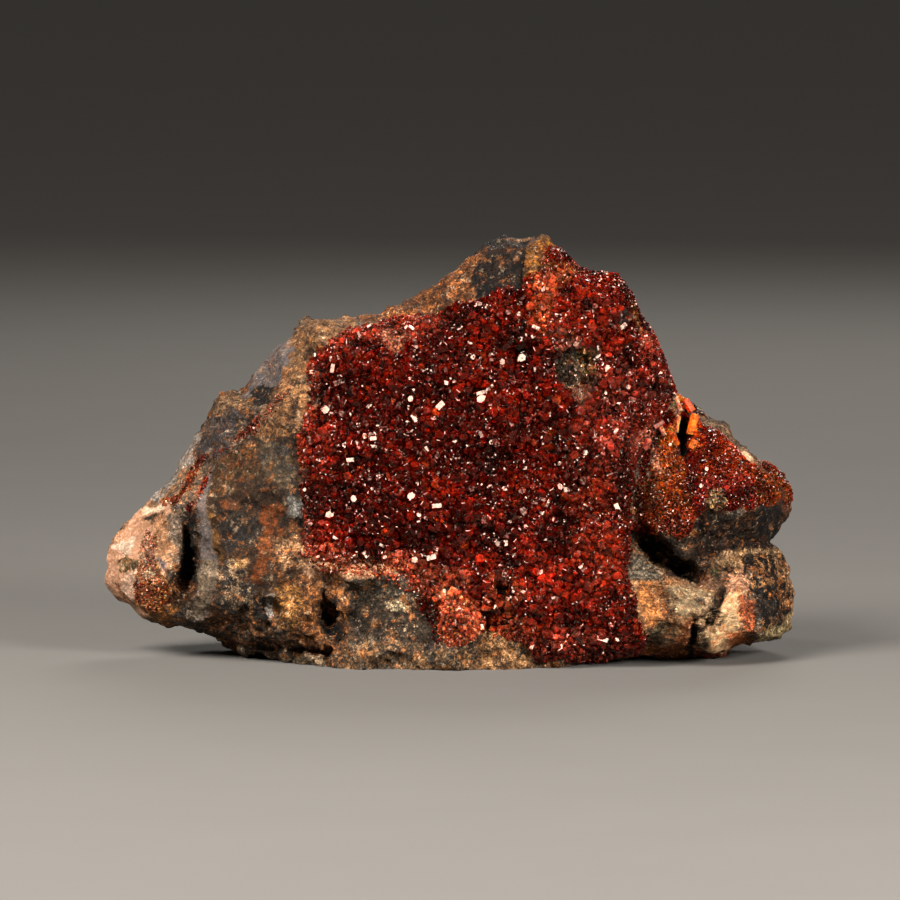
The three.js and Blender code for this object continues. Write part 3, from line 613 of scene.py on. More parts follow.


# Areas of the front: colour, second colour, share of the second one, how ragged the edge is in
# millimetres, how gritty the area is, and the outline. Later areas lie over earlier ones. Some areas are
# painted shade and painted shadow, and one is a painted highlight; each is marked.
areas = [
    ((156, 144, 134), (130, 114, 102), 0.35, 1.6, 0.6,
     [(-51.4, 23.4), (-56.2, 17), (-45, 36.2), (-40.9, 38.6), (-40.2, 36.2), (-40.2, 32.6), (-41.8, 30.1),
      (-45.7, 28.2), (-48.2, 25.6)]),
    ((58, 38, 21), (33, 27, 22), 0.4, 0.8, 0.6,
     [(-37.8, 32.6), (-36.2, 34.2), (-33.8, 35.8), (-30.3, 37.8), (-22, 37.8), (-22, 31.4), (-21, 20.2),
      (-22.6, 16.2), (-25.8, 12.2), (-36.7, 10.6), (-36.9, 14.1), (-37, 17), (-38.2, 21), (-39, 24.5),
      (-39, 27.8)]),
    ((112, 74, 44), (52, 43, 34), 0.45, 1.6, 1,
     [(-36.7, 10.6), (-31.3, 11.2), (-30.3, 6.6), (-20, 6.6), (-16, 1), (-33.8, -1), (-39.4, 4.2),
      (-40.9, 7.7), (-38.6, 9)]),
    ((66, 48, 28), (96, 54, 24), 0.4, 1.6, 0.7,
     [(-37.7, 32.6), (-35.1, 34.9), (-30.6, 36.2), (-29.4, 32.2), (-30.3, 29.8), (-33.8, 28.2),
      (-36.7, 26.6), (-38.6, 26.6), (-38.6, 29)]),
    ((120, 66, 30), (84, 52, 30), 0.4, 0.8, 0.6,
     [(-37, 27), (-34, 26.6), (-33.6, 25.2), (-36.4, 24.8)]),
    ((122, 82, 36), (84, 58, 32), 0.4, 0.5, 0.6,
     [(-39.2, 25), (-38, 25.4), (-36.8, 20), (-36.4, 17), (-37.2, 16.8), (-38.2, 20.4)]),
    ((38, 34, 31), (62, 48, 35), 0.35, 1.2, 0.7,
     [(-36.4, 24.6), (-31, 24.4), (-30.4, 21), (-31.6, 19), (-35.2, 19), (-36.6, 21)]),
    ((46, 40, 34), (134, 106, 78), 0.35, 1.2, 1,
     [(-37, 16.4), (-32, 17.4), (-31.4, 12), (-32.4, 8.4), (-36, 8.2), (-37, 11)]),
    ((186, 146, 98), (140, 106, 70), 0.3, 0.5, 0.8,
     [(-34.9, 17.2), (-32.3, 17.4), (-32.3, 15.9), (-34.8, 15.9)]),
    ((86, 68, 48), (64, 57, 50), 0.45, 1.2, 0.6,
     [(-31, 35), (-26, 35.4), (-25.2, 31), (-26.6, 28.6), (-30, 30)]),
    ((40, 37, 33), (84, 70, 54), 0.3, 0.7, 0.7,
     [(-31, 38), (-27.8, 38), (-27.8, 36.2), (-30.8, 35.8)]),
    ((46, 42, 38), (90, 76, 58), 0.3, 0.8, 0.8,
     [(-26.4, 28.6), (-23.6, 28.6), (-23.4, 26.8), (-26, 26.6)]),
    ((50, 46, 40), (96, 76, 52), 0.35, 0.8, 0.8,
     [(-25.6, 24), (-23.6, 24), (-23.4, 19.6), (-25.2, 20.4)]),
    ((128, 64, 22), (78, 46, 22), 0.4, 1.2, 0.6,
     [(-30.3, 25.3), (-27.1, 26.9), (-26.8, 21.8), (-28.1, 17), (-30.3, 13.8), (-31.9, 14.1), (-31.6, 17),
      (-29.7, 19.5)]),
    ((160, 118, 82), (116, 74, 46), 0.4, 1.2, 1,
     [(-28.7, 20.5), (-22.2, 21.4), (-21.3, 16.6), (-25.8, 15), (-28.1, 17)]),
    ((140, 136, 130), (84, 80, 76), 0.35, 0.6, 0.7,
     [(-25.8, 26.8), (-22.9, 26.8), (-23, 24.2), (-25.8, 24.4)]),
    ((138, 104, 72), (96, 72, 52), 0.4, 0.8, 0.8,
     [(-39.4, 40.6), (-38.3, 44.5), (-34.5, 45), (-31.9, 43.8), (-30.8, 42.4), (-32.2, 41), (-36.1, 40.8)]),
    ((76, 68, 66), (110, 76, 52), 0.35, 1, 0.8,
     [(-40.2, 39.4), (-39, 41.1), (-31.1, 41.1), (-29.4, 40), (-31.1, 38.2), (-32.9, 36.5), (-35.3, 35),
      (-37.4, 33.4), (-40.6, 32.6), (-42.5, 34.2)]),
    ((162, 118, 84), (114, 94, 78), 0.45, 1.4, 0.9,
     [(-46.6, 25.6), (-45.7, 28.2), (-42.5, 31.4), (-40.2, 33.3), (-39, 32), (-39.9, 29.1), (-40.9, 26.2),
      (-43.4, 25)]),
    ((106, 98, 98), (122, 104, 94), 0.4, 1.6, 0.5,
     [(-33.8, 44.2), (-28.2, 50.6), (-24.9, 54.4), (-24.2, 51.4), (-25.8, 46.9), (-27.8, 43.8),
      (-29.7, 42.2), (-31.8, 43.2)]),
    # Painted shadow beneath the grey shoulder.
    ((24, 22, 22), (50, 44, 40), 0.35, 0.5, 0.8,
     [(-32.4, 44.4), (-30, 45.2), (-27.6, 44.2), (-28.6, 41.6), (-31.6, 41.8)]),
    ((138, 98, 64), (96, 70, 48), 0.4, 0.8, 0.7,
     [(-25.5, 52.2), (-24.2, 57.6), (-13.9, 58.3), (-15.9, 53.4), (-20.1, 51.8), (-22, 50.2), (-22.6, 47.8),
      (-23.6, 44.8), (-26.8, 43.8), (-26.5, 46.4), (-24.9, 50.2)]),
    ((142, 100, 64), (60, 46, 34), 0.45, 1.2, 0.75,
     [(-27.8, 43.5), (-24.9, 46.1), (-21.3, 43.8), (-20.2, 41.4), (-21, 38.7), (-23.2, 37.1), (-29.7, 36.5),
      (-32.2, 36.8), (-30.3, 39.4)]),
    ((224, 168, 134), (200, 146, 108), 0.35, 0.8, 0.3,
     [(-58, 13.8), (-57, 19.4), (-52.7, 23.4), (-48.7, 25.9), (-45.4, 26.1), (-43.8, 24.6), (-42.8, 22.7),
      (-43.3, 19.4), (-44.4, 17), (-45.4, 14.1), (-47, 10.6), (-48.2, 7), (-52, 5), (-57, 8)]),
    ((176, 128, 92), (140, 104, 78), 0.4, 0.5, 0.5,
     [(-56.5, 18), (-52.4, 23.4), (-48.6, 26.4), (-45.8, 27.2), (-46.2, 25.9), (-49.6, 24.4), (-52.6, 22.2),
      (-54.9, 19.4)]),
    # Whitish stone on the knob's upper left, painted brighter still as a painted highlight.
    ((255, 230, 196), (236, 196, 156), 0.25, 0.3, 0.3,
     [(-49.4, 24.6), (-46, 25.7), (-45.7, 24.8), (-46.9, 24), (-47.7, 23.3), (-48.6, 22.4), (-49.2, 22.8)]),
    ((206, 150, 108), (170, 124, 88), 0.45, 0.6, 0.6,
     [(-47.7, 22.6), (-45.8, 23.8), (-43.6, 23.4), (-43.6, 17), (-44.4, 15), (-46, 16), (-47.5, 18.4)]),
    ((70, 52, 38), (110, 84, 62), 0.3, 0.15, 0.8,
     [(-45.7, 24.3), (-47, 23.9), (-48.2, 22.4), (-48.6, 22), (-47.5, 22.2), (-46.6, 23.4)]),
    ((246, 214, 186), (226, 180, 146), 0.3, 0.6, 0.3,
     [(-53.6, 20.2), (-50, 20.6), (-50.2, 18.4), (-51.2, 17.4), (-53, 18.4)]),
    ((116, 82, 50), (92, 78, 54), 0.45, 0.6, 1,
     [(-53.1, 17.5), (-52.1, 18), (-51.4, 16.8), (-49.8, 17), (-49.6, 15.4), (-51.6, 14.3), (-52.6, 15.2)]),
    ((170, 110, 76), (128, 84, 58), 0.4, 0.6, 0.8,
     [(-54.4, 13.2), (-53, 12.8), (-51.8, 10.8), (-52.6, 9.8), (-54.6, 10.4)]),
    ((240, 194, 164), (214, 160, 124), 0.3, 0.5, 0.4,
     [(-52.4, 14), (-50.3, 15.8), (-50, 12), (-51, 9.4), (-52.2, 10.6), (-53, 12.2)]),
    ((134, 112, 94), (108, 92, 78), 0.4, 0.6, 0.8,
     [(-44.8, 24), (-42.8, 24), (-43, 19.4), (-43.9, 15.6), (-44.9, 14.4), (-44.5, 18)]),
    ((150, 96, 48), (96, 64, 38), 0.4, 1.2, 0.9,
     [(-50.4, 14.6), (-49.4, 16.6), (-48, 19.4), (-46.8, 17), (-45.4, 14.6), (-44, 12.2), (-43.6, 8.6),
      (-46.8, 6.4), (-50.8, 8.6), (-50.2, 11)]),
    ((118, 104, 104), (150, 124, 110), 0.3, 0.4, 0.6,
     [(-46.9, 17), (-45.3, 14.7), (-44.8, 16.4), (-46, 17.2)]),
    ((20, 14, 9), (40, 28, 18), 0.2, 0.3, 0.8,
     [(-49.3, 13), (-48.6, 13.1), (-48.3, 11.6), (-49.1, 11.4)]),
    ((20, 14, 9), (40, 28, 18), 0.2, 0.2, 0.8,
     [(-46.4, 12), (-45.9, 11.8), (-46, 10.9), (-46.5, 11.1)]),
    ((122, 112, 110), (138, 122, 110), 0.3, 0.15, 0.3,
     [(-37.8, 32.6), (-39, 27.8), (-39, 24.5), (-38.3, 21.6), (-37.7, 18.9), (-37, 15.8), (-37, 14.1),
      (-38.2, 11.8), (-38.6, 8.6), (-40.9, 7.7), (-41.5, 11.2), (-40.7, 14.4), (-40.1, 17.8), (-40.1, 23.4),
      (-40.4, 25.6), (-39.4, 30.1)]),
    ((140, 120, 98), (104, 92, 80), 0.35, 0.4, 0.5,
     [(-40.4, 17), (-37.2, 16.6), (-37, 13.8), (-38.2, 11.8), (-39, 8.6), (-40.9, 7.7), (-41.4, 12.2)]),
    # Painted shade in the cavity beside the knob.
    ((19, 16, 13), (44, 35, 26), 0.3, 0.7, 1,
     [(-42.3, 25.6), (-40.4, 25.3), (-40.2, 20.2), (-40.2, 17.6), (-40.7, 14.4), (-41.5, 12.5), (-43, 12.2),
      (-44.7, 12.8), (-44.1, 15), (-43.3, 18.2), (-43.1, 21.8)]),
    ((98, 58, 28), (40, 27, 18), 0.4, 0.7, 1,
     [(-44.1, 13.1), (-42.2, 14.4), (-41.2, 13.1), (-41.8, 10.6), (-43.8, 10.2)]),
    ((128, 80, 42), (96, 60, 34), 0.4, 1.6, 1,
     [(-24.2, 15.4), (-19.4, 16.6), (-16.6, 14.6), (-15.9, 10.6), (-16.6, 5.8), (-19.4, 1.8), (-23.3, 1.8),
      (-25.5, 4.2), (-25.8, 10.6)]),
    ((144, 96, 46), (104, 71, 38), 0.4, 1, 1,
     [(-28.2, 12.2), (-24.2, 13.1), (-23.3, 9.6), (-24.2, 7), (-27.1, 6.4), (-28.4, 9)]),
    # Painted shade in the pit of the lower left.
    ((14, 10, 7), (24, 16, 9), 0.3, 0.7, 1,
     [(-21.7, 11.5), (-19.8, 9.9), (-18.8, 11.5), (-17.7, 10.6), (-17.8, 6.6), (-18.8, 4.2), (-20.1, 4.8),
      (-21.4, 8)]),
    ((30, 26, 22), (54, 45, 37), 0.3, 0.7, 1,
     [(-31.3, 10.9), (-29.4, 11.4), (-28.4, 8.6), (-29, 6.7), (-31.3, 7.4)]),
    ((202, 192, 182), (150, 138, 124), 0.3, 0.2, 1,
     [(-29.4, 10.6), (-28.6, 10.2), (-28.4, 8.3), (-28.9, 7.7), (-29.2, 9)]),
    ((214, 162, 124), (174, 130, 98), 0.4, 1, 0.7,
     [(-23.3, 16), (-20.2, 18.6), (-15.9, 18), (-10.8, 18.3), (-8.2, 15), (-12.7, 13.8), (-15.9, 14.4),
      (-19.4, 15.7), (-22.3, 14.7)]),
    ((54, 49, 40), (92, 74, 50), 0.35, 1, 1,
     [(-16.4, 14.1), (-11.4, 14.7), (-4.6, 13.8), (-4, 11.2), (-12.7, 10.9), (-16.2, 11.8)]),
    ((56, 46, 35), (118, 88, 62), 0.3, 1.2, 1,
     [(-15.9, 11.2), (-4.6, 11.5), (-2.4, 8.6), (-1.8, 4.2), (-8.2, 3.8), (-13.7, 5.1), (-16.2, 7.4)]),
    ((208, 184, 146), (170, 138, 98), 0.3, 0.3, 1,
     [(-10, 10.6), (-7.6, 10.6), (-7.1, 9.6), (-8.9, 9.1), (-10.2, 9.6)]),
    ((136, 100, 66), (82, 69, 57), 0.45, 1.2, 1,
     [(-16.4, 5.4), (-4.4, 3.8), (0.8, 2.6), (12, 4), (14, -1.6), (-17, -1.6)]),
    ((168, 122, 80), (128, 90, 56), 0.35, 0.8, 1,
     [(3.6, 4.6), (6, 5.8), (9, 5.2), (13, 3.4), (13, -1), (5, -1)]),
    ((134, 114, 90), (84, 71, 56), 0.4, 0.6, 1,
     [(-33.8, 2.6), (-31.3, 2.6), (-25.8, 1.6), (-20.6, 2.2), (-20.2, -2), (-33.8, -2)]),
    # Painted shade along the groove near the foot.
    ((20, 15, 10), (36, 26, 17), 0.3, 0.4, 1,
     [(-31.3, 3.5), (-24.2, 3.2), (-20.4, 3.8), (-20.4, 2.6), (-24.9, 1.8), (-31.6, 2.4)]),
    ((140, 82, 42), (84, 50, 26), 0.5, 1.4, 1,
     [(-14, 56.5), (-8.9, 59.5), (-3.8, 62.8), (1.7, 66.6), (5.5, 68.8), (4.2, 63.7), (3.6, 58.5),
      (0.1, 55.2), (-4.4, 54.9), (-10, 54)]),
    ((9, 6, 5), (34, 21, 14), 0.3, 1, 0.55,
     [(3, 63.7), (5.8, 69.8), (9.7, 70.4), (12.4, 69.2), (11.6, 58.2), (7.8, 56.6), (4.2, 57.8)]),
    ((38, 23, 15), (15, 11, 9), 0.45, 1, 0.55,
     [(4.6, 68.2), (7.8, 69.4), (9.7, 68.2), (9, 63.7), (6.2, 63), (4.6, 64.6)]),
    ((150, 94, 24), (88, 44, 16), 0.5, 1, 1,
     [(12.2, 70.4), (18, 69), (21, 65), (19, 58), (12, 57)]),
    ((84, 28, 14), (118, 60, 32), 0.35, 1.2, 1,
     [(19, 66), (27, 65), (31, 58), (34, 50), (32, 46), (26, 56), (19, 60)]),
    ((120, 88, 60), (82, 62, 44), 0.4, 0.8, 1,
     [(41, 40.4), (44.9, 40.7), (49, 36.9), (55, 32), (51.5, 29.5), (46.5, 32.6), (42.3, 36.2)]),
    ((108, 62, 30), (70, 44, 24), 0.45, 1, 1,
     [(50, 32), (56, 30), (57, 24), (51, 23), (48.5, 26)]),
    # Painted shade on the underside of the right lobe.
    ((26, 13, 5), (74, 42, 18), 0.35, 1.2, 0.8,
     [(35.2, 23), (40.1, 24.8), (43.3, 24.3), (47, 24), (49.4, 26.2), (53.2, 26.9), (57.8, 25.8),
      (56.1, 20.4), (51, 19.4), (46.2, 18.2), (42.3, 17), (38.2, 16.6), (34.6, 18.9), (28.2, 20.2),
      (28.2, 22.1), (34, 21.4)]),
    ((160, 122, 80), (110, 79, 52), 0.4, 0.7, 1,
     [(40.2, 26.9), (42.3, 27.5), (43.6, 26.2), (42.6, 24.6), (40.4, 25)]),
    ((106, 52, 22), (74, 36, 16), 0.4, 0.8, 1,
     [(48.2, 32.6), (50.4, 32.6), (53, 30.8), (55.4, 28.4), (54, 26.4), (50, 28)]),
    ((236, 196, 156), (190, 140, 98), 0.3, 0.4, 0.4,
     [(46, 34.8), (48.5, 34.8), (51, 33.2), (49.8, 32), (47.2, 33)]),
    # The darkest part of the painted shade under the lobe.
    ((8, 6, 5), (24, 17, 12), 0.2, 0.8, 0.6,
     [(48.1, 25.3), (50, 26.6), (52.9, 25.9), (53.2, 22.7), (50.6, 21.8), (48.4, 22.4)]),
    # Painted shade on the left of the lobe's underside.
    ((34, 24, 16), (56, 38, 24), 0.4, 1, 0.7,
     [(34, 21.6), (37.8, 21.8), (38.4, 18.4), (36.4, 17.4), (34.8, 18.4)]),
    ((200, 144, 98), (156, 110, 72), 0.4, 1.2, 0.8,
     [(27.4, 13.9), (34.3, 14.2), (38.3, 13.4), (41.7, 15.2), (43.4, 13.6), (42.2, 11), (40, 7),
      (38.2, 6.1), (37.4, 1), (37, -1), (28, -1), (28.2, 7.8)]),
    ((192, 124, 68), (150, 92, 50), 0.4, 1, 0.8,
     [(29.4, 13.6), (32.4, 13.8), (33, 10), (33.6, 6.4), (32, 5), (30.6, 7.4), (29.6, 10)]),
    ((124, 74, 42), (92, 58, 36), 0.4, 0.5, 0.9,
     [(32.8, 13), (34.2, 12.6), (34.6, 9.6), (34, 6.8), (33.2, 8)]),
    ((166, 142, 108), (186, 150, 112), 0.4, 1, 0.7,
     [(34.4, 12.8), (38.4, 13), (41.6, 12.2), (41.4, 9.6), (38.4, 8), (35, 8.2)]),
    ((70, 64, 58), (100, 88, 74), 0.3, 0.4, 0.8,
     [(38.7, 11.2), (40, 11.2), (40.2, 10), (39.2, 9.6), (38.7, 10.2)]),
    ((210, 170, 128), (176, 136, 98), 0.3, 0.6, 0.7,
     [(38.4, 9.4), (40.9, 9.2), (41, 8.2), (39.6, 6.6), (38.5, 7.4)]),
    ((156, 124, 90), (104, 84, 62), 0.45, 1, 0.9,
     [(30.4, 6.4), (34, 6.6), (36.4, 6), (35.4, 3.8), (31.6, 3.6)]),
    ((96, 92, 72), (150, 126, 92), 0.4, 0.6, 0.8,
     [(31.6, 6.2), (32.8, 6), (32.8, 4.4), (31.8, 4)]),
    ((186, 106, 58), (126, 74, 40), 0.45, 1, 0.9,
     [(29.4, 3.4), (34.6, 3.4), (36.4, 6.6), (38.2, 7.6), (38, 4.4), (37.2, 1.4), (36.6, -1), (29.4, -1)]),
    ((150, 104, 76), (112, 80, 58), 0.4, 0.8, 0.9,
     [(38.6, 14.6), (41, 14.4), (43.4, 14.6), (43.7, 12.8), (42.2, 12.2), (39, 13)]),
    ((112, 100, 84), (60, 54, 46), 0.45, 0.8, 1,
     [(28.2, 18), (30.4, 17.6), (32.4, 15.6), (33.4, 14), (28.2, 14.1)]),
    ((206, 164, 118), (170, 130, 90), 0.3, 0.3, 0.5,
     [(31.3, 16.9), (33.5, 16.9), (34.2, 15.3), (33.9, 14.7), (32.9, 15.5), (31.5, 16.3)]),
    ((10, 6, 4), (168, 116, 70), 0.4, 1, 0.9,
     [(46.6, 16.5), (51.6, 18.6), (54.2, 18), (58.1, 12), (57, 7), (53.5, 5.8), (48.1, 5.4), (48.3, 9.6),
      (46.8, 12), (47.9, 14.4)]),
    # Painted shadow in the crease under the lobe's overhang.
    ((12, 9, 8), (40, 30, 22), 0.25, 0.8, 1,
     [(46.7, 17.4), (48, 17), (47.9, 15.4), (46.8, 15.6)]),
    ((12, 9, 8), (52, 40, 30), 0.25, 0.9, 1,
     [(47.6, 12.6), (51.6, 12.6), (52.2, 9.6), (50, 7), (48.4, 8)]),
    ((168, 122, 82), (58, 40, 28), 0.4, 0.8, 1,
     [(52.2, 15.8), (54.2, 15.4), (56.5, 12), (56, 7.4), (54.6, 7.6), (53.6, 10.4), (52.2, 12.6)]),
    ((216, 156, 120), (170, 116, 84), 0.4, 0.7, 0.9,
     [(43.9, 14.7), (46, 15.6), (47.8, 14.4), (47.2, 12), (46, 11.4), (44.2, 11.6), (43.4, 12.4)]),
    ((190, 150, 108), (140, 108, 76), 0.35, 0.6, 0.9,
     [(41.8, 17.2), (43.8, 18.2), (47.6, 18.8), (49.4, 19.6), (51, 19.9), (51.6, 18.8), (49.4, 17.9),
      (46.8, 17), (45.8, 15.6), (44.8, 14.6), (44, 15.4)]),
    ((120, 110, 68), (92, 76, 50), 0.4, 0.5, 0.9,
     [(40.4, 15.4), (42.4, 15.8), (43.2, 15), (41.6, 14.6)]),
    # Painted shadow in the crease under the lobe's overhang.
    ((14, 10, 8), (36, 26, 18), 0.2, 0.4, 0.9,
     [(42.8, 15.6), (44.6, 15.8), (44.9, 14.6), (43.6, 14.3)]),
    # Cream stone of the lower lobe's foot, painted brighter than its own colour as painted light, since
    # this face turns down.
    ((255, 212, 160), (255, 176, 118), 0.35, 0.8, 0.35,
     [(43, 11.8), (46, 11.4), (46.4, 8.6), (46.8, 6.2), (46, 4), (44.2, 1.8), (42.4, 1.2), (40.2, 2.6),
      (39.8, 5.6), (41.6, 8.2), (42.4, 10)]),
    ((250, 150, 88), (216, 112, 60), 0.4, 0.8, 0.55,
     [(43.8, 5.2), (45.4, 5.8), (47, 4.9), (46.6, 3.4), (44.6, 2.4), (44.2, 3.4)]),
    ((206, 106, 62), (160, 82, 48), 0.45, 1, 1,
     [(45.9, 10.9), (47.8, 10.4), (48.5, 7.6), (47.6, 5.4), (46.2, 5.8), (45.8, 8.4)]),
    ((184, 160, 114), (126, 106, 72), 0.4, 0.8, 0.9,
     [(48.6, 6.2), (51, 6.6), (54.6, 6.9), (54.6, 4), (52, 3), (48.6, 4.4)]),
    ((156, 126, 92), (92, 70, 50), 0.4, 0.5, 1,
     [(38.7, 5.6), (40.2, 5.4), (40.8, 3.2), (40, 2.2), (38.7, 2.4)]),
    # Painted shade in the notch of the lower lobe.
    ((8, 6, 5), (20, 14, 10), 0.2, 0.2, 0.9,
     [(37.9, 7.6), (39, 6.9), (38.8, 4.4), (38.6, 2), (38.6, -0.5), (37.2, -0.5), (37.6, 2.6),
      (37.8, 5.4)]),
    # Painted shade along the crack of the lower lobe.
    ((40, 24, 14), (64, 38, 22), 0.3, 0.15, 0.6,
     [(43.2, 12.7), (43.8, 12.3), (42.4, 10.2), (41.6, 8.4), (40.4, 6.2), (39.2, 5.6), (39, 6.3), (40.2, 7),
      (41.4, 9), (42, 10.8)]),
    ((116, 34, 26), (160, 96, 62), 0.35, 0.6, 1,
     [(38.6, 2.6), (41.2, 2), (44.4, 2.5), (44.4, -0.7), (38.6, -0.7)]),
    # Painted shadow cast by the lobe into the crack beneath it.
    ((10, 7, 5), (26, 18, 13), 0.25, 0.5, 0.9,
     [(30.2, 20.4), (31.8, 20), (34, 18.6), (35.4, 17.4), (38, 16.6), (38.6, 14.4), (38, 13.6), (36, 14.2),
      (34.6, 14.6), (33.8, 16), (31.6, 17.9), (30.2, 18.8)]),
    # Painted shade in the vug.
    ((8, 5, 4), (16, 9, 6), 0.3, 0.2, 0.9,
     [(35.2, 40), (38.5, 39.8), (38.5, 36), (38.2, 33), (37, 32.4), (35.4, 33.6)]),
    ((34, 27, 20), (150, 118, 84), 0.35, 0.8, 1,
     [(14.6, 50), (18.6, 53), (23, 50), (23.6, 44), (19, 41.6), (14.6, 44)]),
    # Painted shade in the hole near the top right.
    ((40, 32, 26), (70, 54, 40), 0.35, 0.2, 0.9,
     [(25.6, 57.6), (28.2, 57.6), (28.8, 53), (26, 52.6)]),
    # Painted shade in the pits low in the crust.
    ((8, 4, 3), (20, 12, 8), 0.3, 0.2, 0.9,
     [(3.4, 10.6), (6, 13.4), (9.6, 13.4), (9.4, 11), (7, 9.6), (7, 5.6), (3.6, 5.6)]),
]

# Ground colours of the whole rock: noise size, seed, low and high level of the noise, colour,
# second colour
grounds = [
    (9, 31, 0.46, 0.54, (106, 76, 52), (78, 60, 46)),
    (6, 37, 0.52, 0.58, (92, 82, 74), (120, 98, 78)),
    (5, 41, 0.57, 0.63, (130, 76, 38), (92, 62, 40)),
    (4, 47, 0.62, 0.68, (58, 51, 45), (92, 74, 58)),
    (3, 53, 0.66, 0.7, (154, 116, 80), (116, 84, 58)),
]

# What all beds between crystals share: how far the back lies in the rock, the lowest height and the
# bumps, in millimetres, and the finish. Its brightness darkens the bed as painted shade between the
# crystals.
beds = {
    "depth": 0.9,
    "lowest": 0.15,
    "bumpHeight": 0.5,
    "bumpSize": 1.3,
    "brightness": 0.5,
    "frost": 0.1,
    "sparkle": 1.0,
}

# Crusts: the outline of each bed of crystals, how thick the bed is, and how it undulates
mainCrust = {
    "centre": (4.6, 33),
    "aspect": 1.1,
    "cells": 120,
    "ragged": 1.1,
    "thickness": 1.3,
    "least": 0.35,
    "swell": 1.7,
    "edge": 12,
    "outline": [
        (-23, 17.8), (-23.8, 20.2), (-23.1, 23.4), (-24.4, 29), (-24.7, 36.2), (-23.6, 38.7),
        (-22.8, 41.8), (-23.4, 45), (-22.6, 48.6), (-20.6, 51.8), (-17, 54), (-13.8, 54.8),
        (-9.5, 55.8), (-5.8, 56.2), (-1.8, 56.4), (0.1, 57.8), (4.2, 58.8), (7.8, 60.2),
        (11.3, 61.4), (12.9, 63.4), (15, 64), (17.7, 64.4), (20.2, 63), (25.6, 62.2), (28.4, 59),
        (29.6, 56), (32, 52.4), (34.6, 46), (35.2, 43.6), (33, 40.4), (30.8, 38.4), (29.6, 34.6),
        (29.2, 29.8), (28.6, 24.2), (28.4, 20.2), (28.8, 14.6), (29.8, 9.8), (31, 4.4),
        (30, 1.8), (23.8, 1.1), (13.4, 0.9), (12.2, 3.4), (8.6, 4.4), (6.8, 3.6), (5.8, 6.6),
        (4.4, 4.6), (2.2, 2.6), (-0.6, 2.6), (-1.8, 5), (-3, 9.8), (-5.8, 12.2), (-9, 15),
        (-12.2, 16.6), (-17, 16), (-20.2, 17),
    ],
}
lobeDruse = {
    "centre": (41, 31),
    "aspect": 1.3,
    "cells": 80,
    "ragged": 1.6,
    "thickness": 0.5,
    "least": 0.35,
    "swell": 0.7,
    "edge": 8,
    "outline": [
        (37, 41.4), (40.6, 38.9), (43.6, 36.6), (47, 33.4), (50.4, 30.8), (52.6, 28.6), (53, 27),
        (51, 25.4), (48.1, 24.9), (45.4, 24.4), (42.6, 24.6), (40.6, 25.6), (38.6, 23.6),
        (37.5, 20.6), (35.2, 19.6), (32.6, 21.4), (30.8, 25), (30.6, 31), (31.2, 35), (33, 39),
        (35, 41.6),
    ],
}


# Fine growth straight on the rock, by the outline of each stretch
growth = {
    "crust_to_lobe": [
        (28.2, 22), (29, 30), (29.4, 36), (31.4, 41), (34.6, 44.6), (36.6, 46.8), (38.6, 43.2), (37, 41.4),
        (34.6, 41.4), (33.4, 39), (32, 35), (31.6, 31), (31.6, 25), (33, 21.2), (31, 20.6),
    ],
    "top_rim": [
        (14, 64.4), (16, 68.4), (18.4, 67.4), (21, 65), (26.8, 64.4), (30.2, 60), (31.6, 57), (34, 53.6),
        (36.2, 47.6), (37.6, 43.8), (35.4, 43), (33.6, 47), (31.6, 51.8), (29, 56), (27, 60), (24, 61.6),
        (19, 62.8), (17, 63.6),
    ],
    "left_sparkle": [
        (-46.8, 26.8), (-43.4, 27.4), (-42.8, 29.6), (-41.4, 32), (-40.4, 33.8), (-38.8, 34), (-39.4, 32.6),
        (-40.6, 30.4), (-41.2, 28), (-42.2, 26.4), (-44, 25.4), (-46.4, 25.8),
    ],
    "upper_line": [
        (-26, 44.4), (-27.6, 43.6), (-29.6, 40.6), (-31.6, 38.5), (-34, 36.7), (-36, 35.5), (-38, 34.2),
        (-37.4, 33.2), (-35, 34.4), (-32.8, 35.9), (-30.4, 37.3), (-28.4, 39.5), (-26.9, 42), (-25.6, 43.4),
    ],
    "lower_line": [
        (-38.3, 31.8), (-39.8, 29.4), (-41, 27.2), (-41.9, 25.6), (-42.8, 24.4), (-41.8, 23.8),
        (-40.5, 25.4), (-39.5, 27), (-38.7, 29), (-37.8, 30.8),
    ],
    "lower_fringe": [
        (-25, 18.6), (-22, 15.6), (-17, 14.6), (-12.4, 14.6), (-8.6, 12.8), (-5.4, 9.6), (-3.8, 6.4),
        (-2.6, 3), (-0.4, 4.4), (-1.6, 9), (-4, 13), (-8, 16), (-12, 18), (-17, 17.6), (-21, 19.4),
    ],
    "bare_patch": [
        (15.4, 50.4), (18.6, 52), (22, 50), (22.6, 45.6), (20.8, 42.8), (17.6, 42.8), (15.4, 45.6),
    ],
    "knob_line": [
        (-48.8, 21.8), (-47.3, 21.4), (-47, 18.5), (-46.7, 16), (-45.3, 13), (-44.8, 10.4), (-47, 8.6),
        (-50.4, 9.4), (-50.8, 13), (-49.8, 16), (-49.8, 18.6),
    ],
    "lobe_end": [
        (48.8, 32.8), (51, 32.6), (53.6, 30.8), (55, 28.6), (54.8, 26.4), (53, 25.4), (52.8, 28.4),
        (50.6, 30.8),
    ],
}


